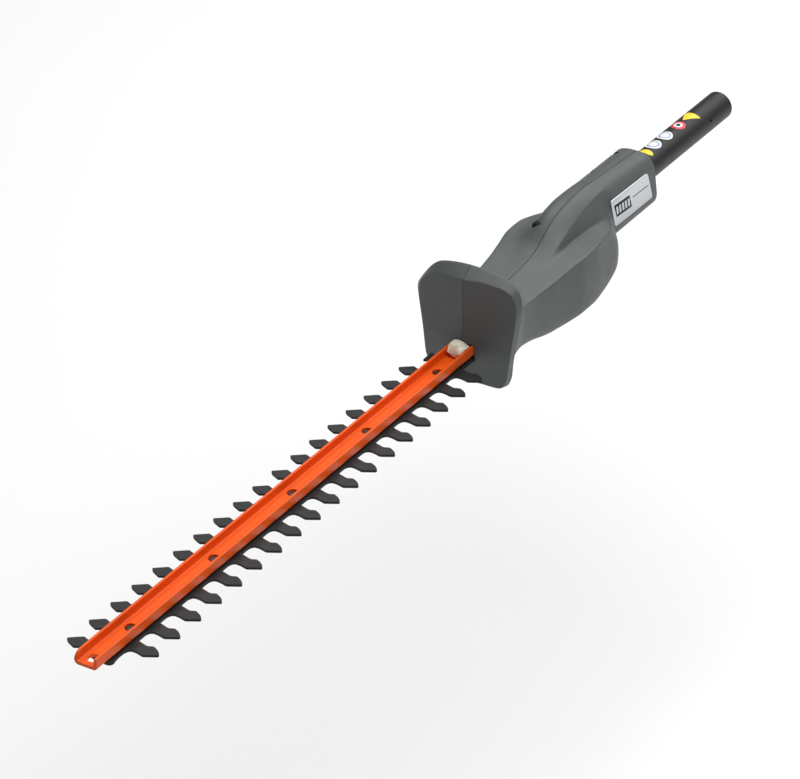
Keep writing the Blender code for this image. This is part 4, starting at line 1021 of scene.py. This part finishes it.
def build_felt():
    """A block of felt pressed into the channel: crowned, creased and spread over the lips."""
    half = BAR_HALF - BAR_WALL - 0.15
    low = BAR_FLOOR_Z + 0.15
    rear = GUARD_SEAM_Y + 2.0
    front = rear - 15.0
    along = 28
    around = 44
    rings = []
    for i in range(along + 1):
        v = i / along
        y = front + (rear - front) * v
        rise = math.sin(math.pi * min(0.86, 0.06 + 0.9 * v)) ** 0.55
        height = 5.2 + 5.2 * rise
        pull = 1 - 0.6 * abs(2 * v - 1) ** 6
        ring = []
        for k in range(around):
            turn = 2 * math.pi * k / around
            c, s = math.cos(turn), math.sin(turn)
            z = math.copysign(abs(s) ** 0.55, s)
            level = low + height * (0.5 + 0.5 * z * pull)
            over = max(0.0, min(1.0, (level - BAR_TOP_Z - 0.1) / 1.2))
            width = half + 1.7 * over * (0.4 + 0.6 * v)
            x = width * math.copysign(abs(c) ** 0.5, c) * (0.88 + 0.12 * pull)
            top = max(z, 0.0)
            fold = 0.9 * math.sin(2.1 * x / half + 2.6 * v + 0.6) * top
            crease = -1.1 * math.exp(-((x - 1.0 - 5.0 * v) / 1.0) ** 2) * top
            tuck = -0.8 * math.exp(-((x + 4.2 - 1.5 * v) / 0.8) ** 2) * top * (1 - v)
            ring.append((x, y + 0.7 * math.sin(1.7 * z + 0.5 * x) * (1 - v), level + fold + crease + tuck))
        rings.append(ring)
    bm = loft(rings)
    rng = np.random.default_rng(7)
    for vert in bm.verts:
        vert.co += Vector(rng.normal(0.0, 0.10, 3))
        reach = half if vert.co.z < BAR_TOP_Z else half + 1.8
        vert.co.x = max(-reach, min(reach, vert.co.x))
        vert.co.z = max(vert.co.z, low)
    felt = to_object("felt_block", bm, FELT, 80.0)
    step = felt.modifiers.new("soft", "SUBSURF")
    step.levels = 1
    step.render_levels = 1
    bake(felt, 80.0)
    piece(felt, "housing", "felt", "felt_wiper")


# ---------------------------------------------------------------- carried-over nodes, floor, light, camera

def finish_cad_nodes():
    """Gives each CAD node the procedural finish of its slot."""
    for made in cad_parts.values():
        slot = made.data.materials[0].name.split(".")[0]
        made.data.materials.clear()
        made.data.materials.append(SLOT_FINISH[slot])


def build_floor():
    level = cad_low.z - FLOOR_DROP
    bm = bmesh.new()
    verts = []
    for i in range(FLOOR_STEPS + 1):
        row = []
        for j in range(FLOOR_STEPS + 1):
            x = FLOOR_SIZE * (i / FLOOR_STEPS - 0.5)
            y = FLOOR_SIZE * (j / FLOOR_STEPS - 0.5)
            row.append(bm.verts.new((x, y, level)))
        verts.append(row)
    for i in range(FLOOR_STEPS):
        for j in range(FLOOR_STEPS):
            bm.faces.new((verts[i][j], verts[i + 1][j], verts[i + 1][j + 1], verts[i][j + 1]))
    mesh = bpy.data.meshes.new("floor")
    bm.to_mesh(mesh)
    bm.free()
    mesh.materials.append(FLOOR)
    add("floor", mesh)


def area_light(name, location, target, size, power):
    lamp = bpy.data.lights.new(name, "AREA")
    lamp.shape = "RECTANGLE"
    lamp.size, lamp.size_y = size
    lamp.energy = power
    made = add(name, lamp)
    made.location = location
    made.rotation_euler = (Vector(target) - Vector(location)).to_track_quat("-Z", "Y").to_euler()


def build_lights():
    area_light("overhead_softbox", (0.3, 0.4, 2.7), (0.05, -0.4, 0), (4.6, 4.6), 200.0)
    area_light("right_fill", (2.6, -0.2, 0.9), (0, -0.3, 0), (1.6, 1.2), 1.2)
    world = bpy.data.worlds.new("studio")
    world.use_nodes = True
    background = world.node_tree.nodes["Background"]
    background.inputs["Color"].default_value = (1.0, 1.0, 1.0, 1)
    background.inputs["Strength"].default_value = WORLD_LIGHT
    bpy.context.scene.world = world
    bpy.context.scene.view_settings.view_transform = "Standard"
    bpy.context.scene.view_settings.look = "None"


def build_camera():
    azimuth, elevation, roll = map(math.radians, CAMERA_DEGREES)
    back = Vector((math.sin(azimuth) * math.cos(elevation), -math.cos(azimuth) * math.cos(elevation),
                   math.sin(elevation)))
    right = (-back).cross(Vector((0, 0, 1))).normalized()
    up = right.cross(-back)
    turned_right = right * math.cos(roll) + up * math.sin(roll)
    turned_up = -right * math.sin(roll) + up * math.cos(roll)
    camera = bpy.data.cameras.new("photo_camera")
    camera.lens = CAMERA_LENS
    camera.sensor_width = 36.0
    camera.clip_start = 0.05
    camera.clip_end = 50.0
    made = add("photo_camera", camera)
    axes = Matrix((turned_right, turned_up, back)).transposed().to_4x4()
    axes.translation = Vector(CAMERA_PLACE)
    made.matrix_world = axes
    bpy.context.scene.camera = made


build_camera()
finish_cad_nodes()
build_housing()
build_housing_screws()
build_name_plate()
build_tube()
build_drive_shaft()
build_lock_button()
build_blades()
build_guide_bar()
build_fasteners()
build_felt()
build_floor()
build_lights()
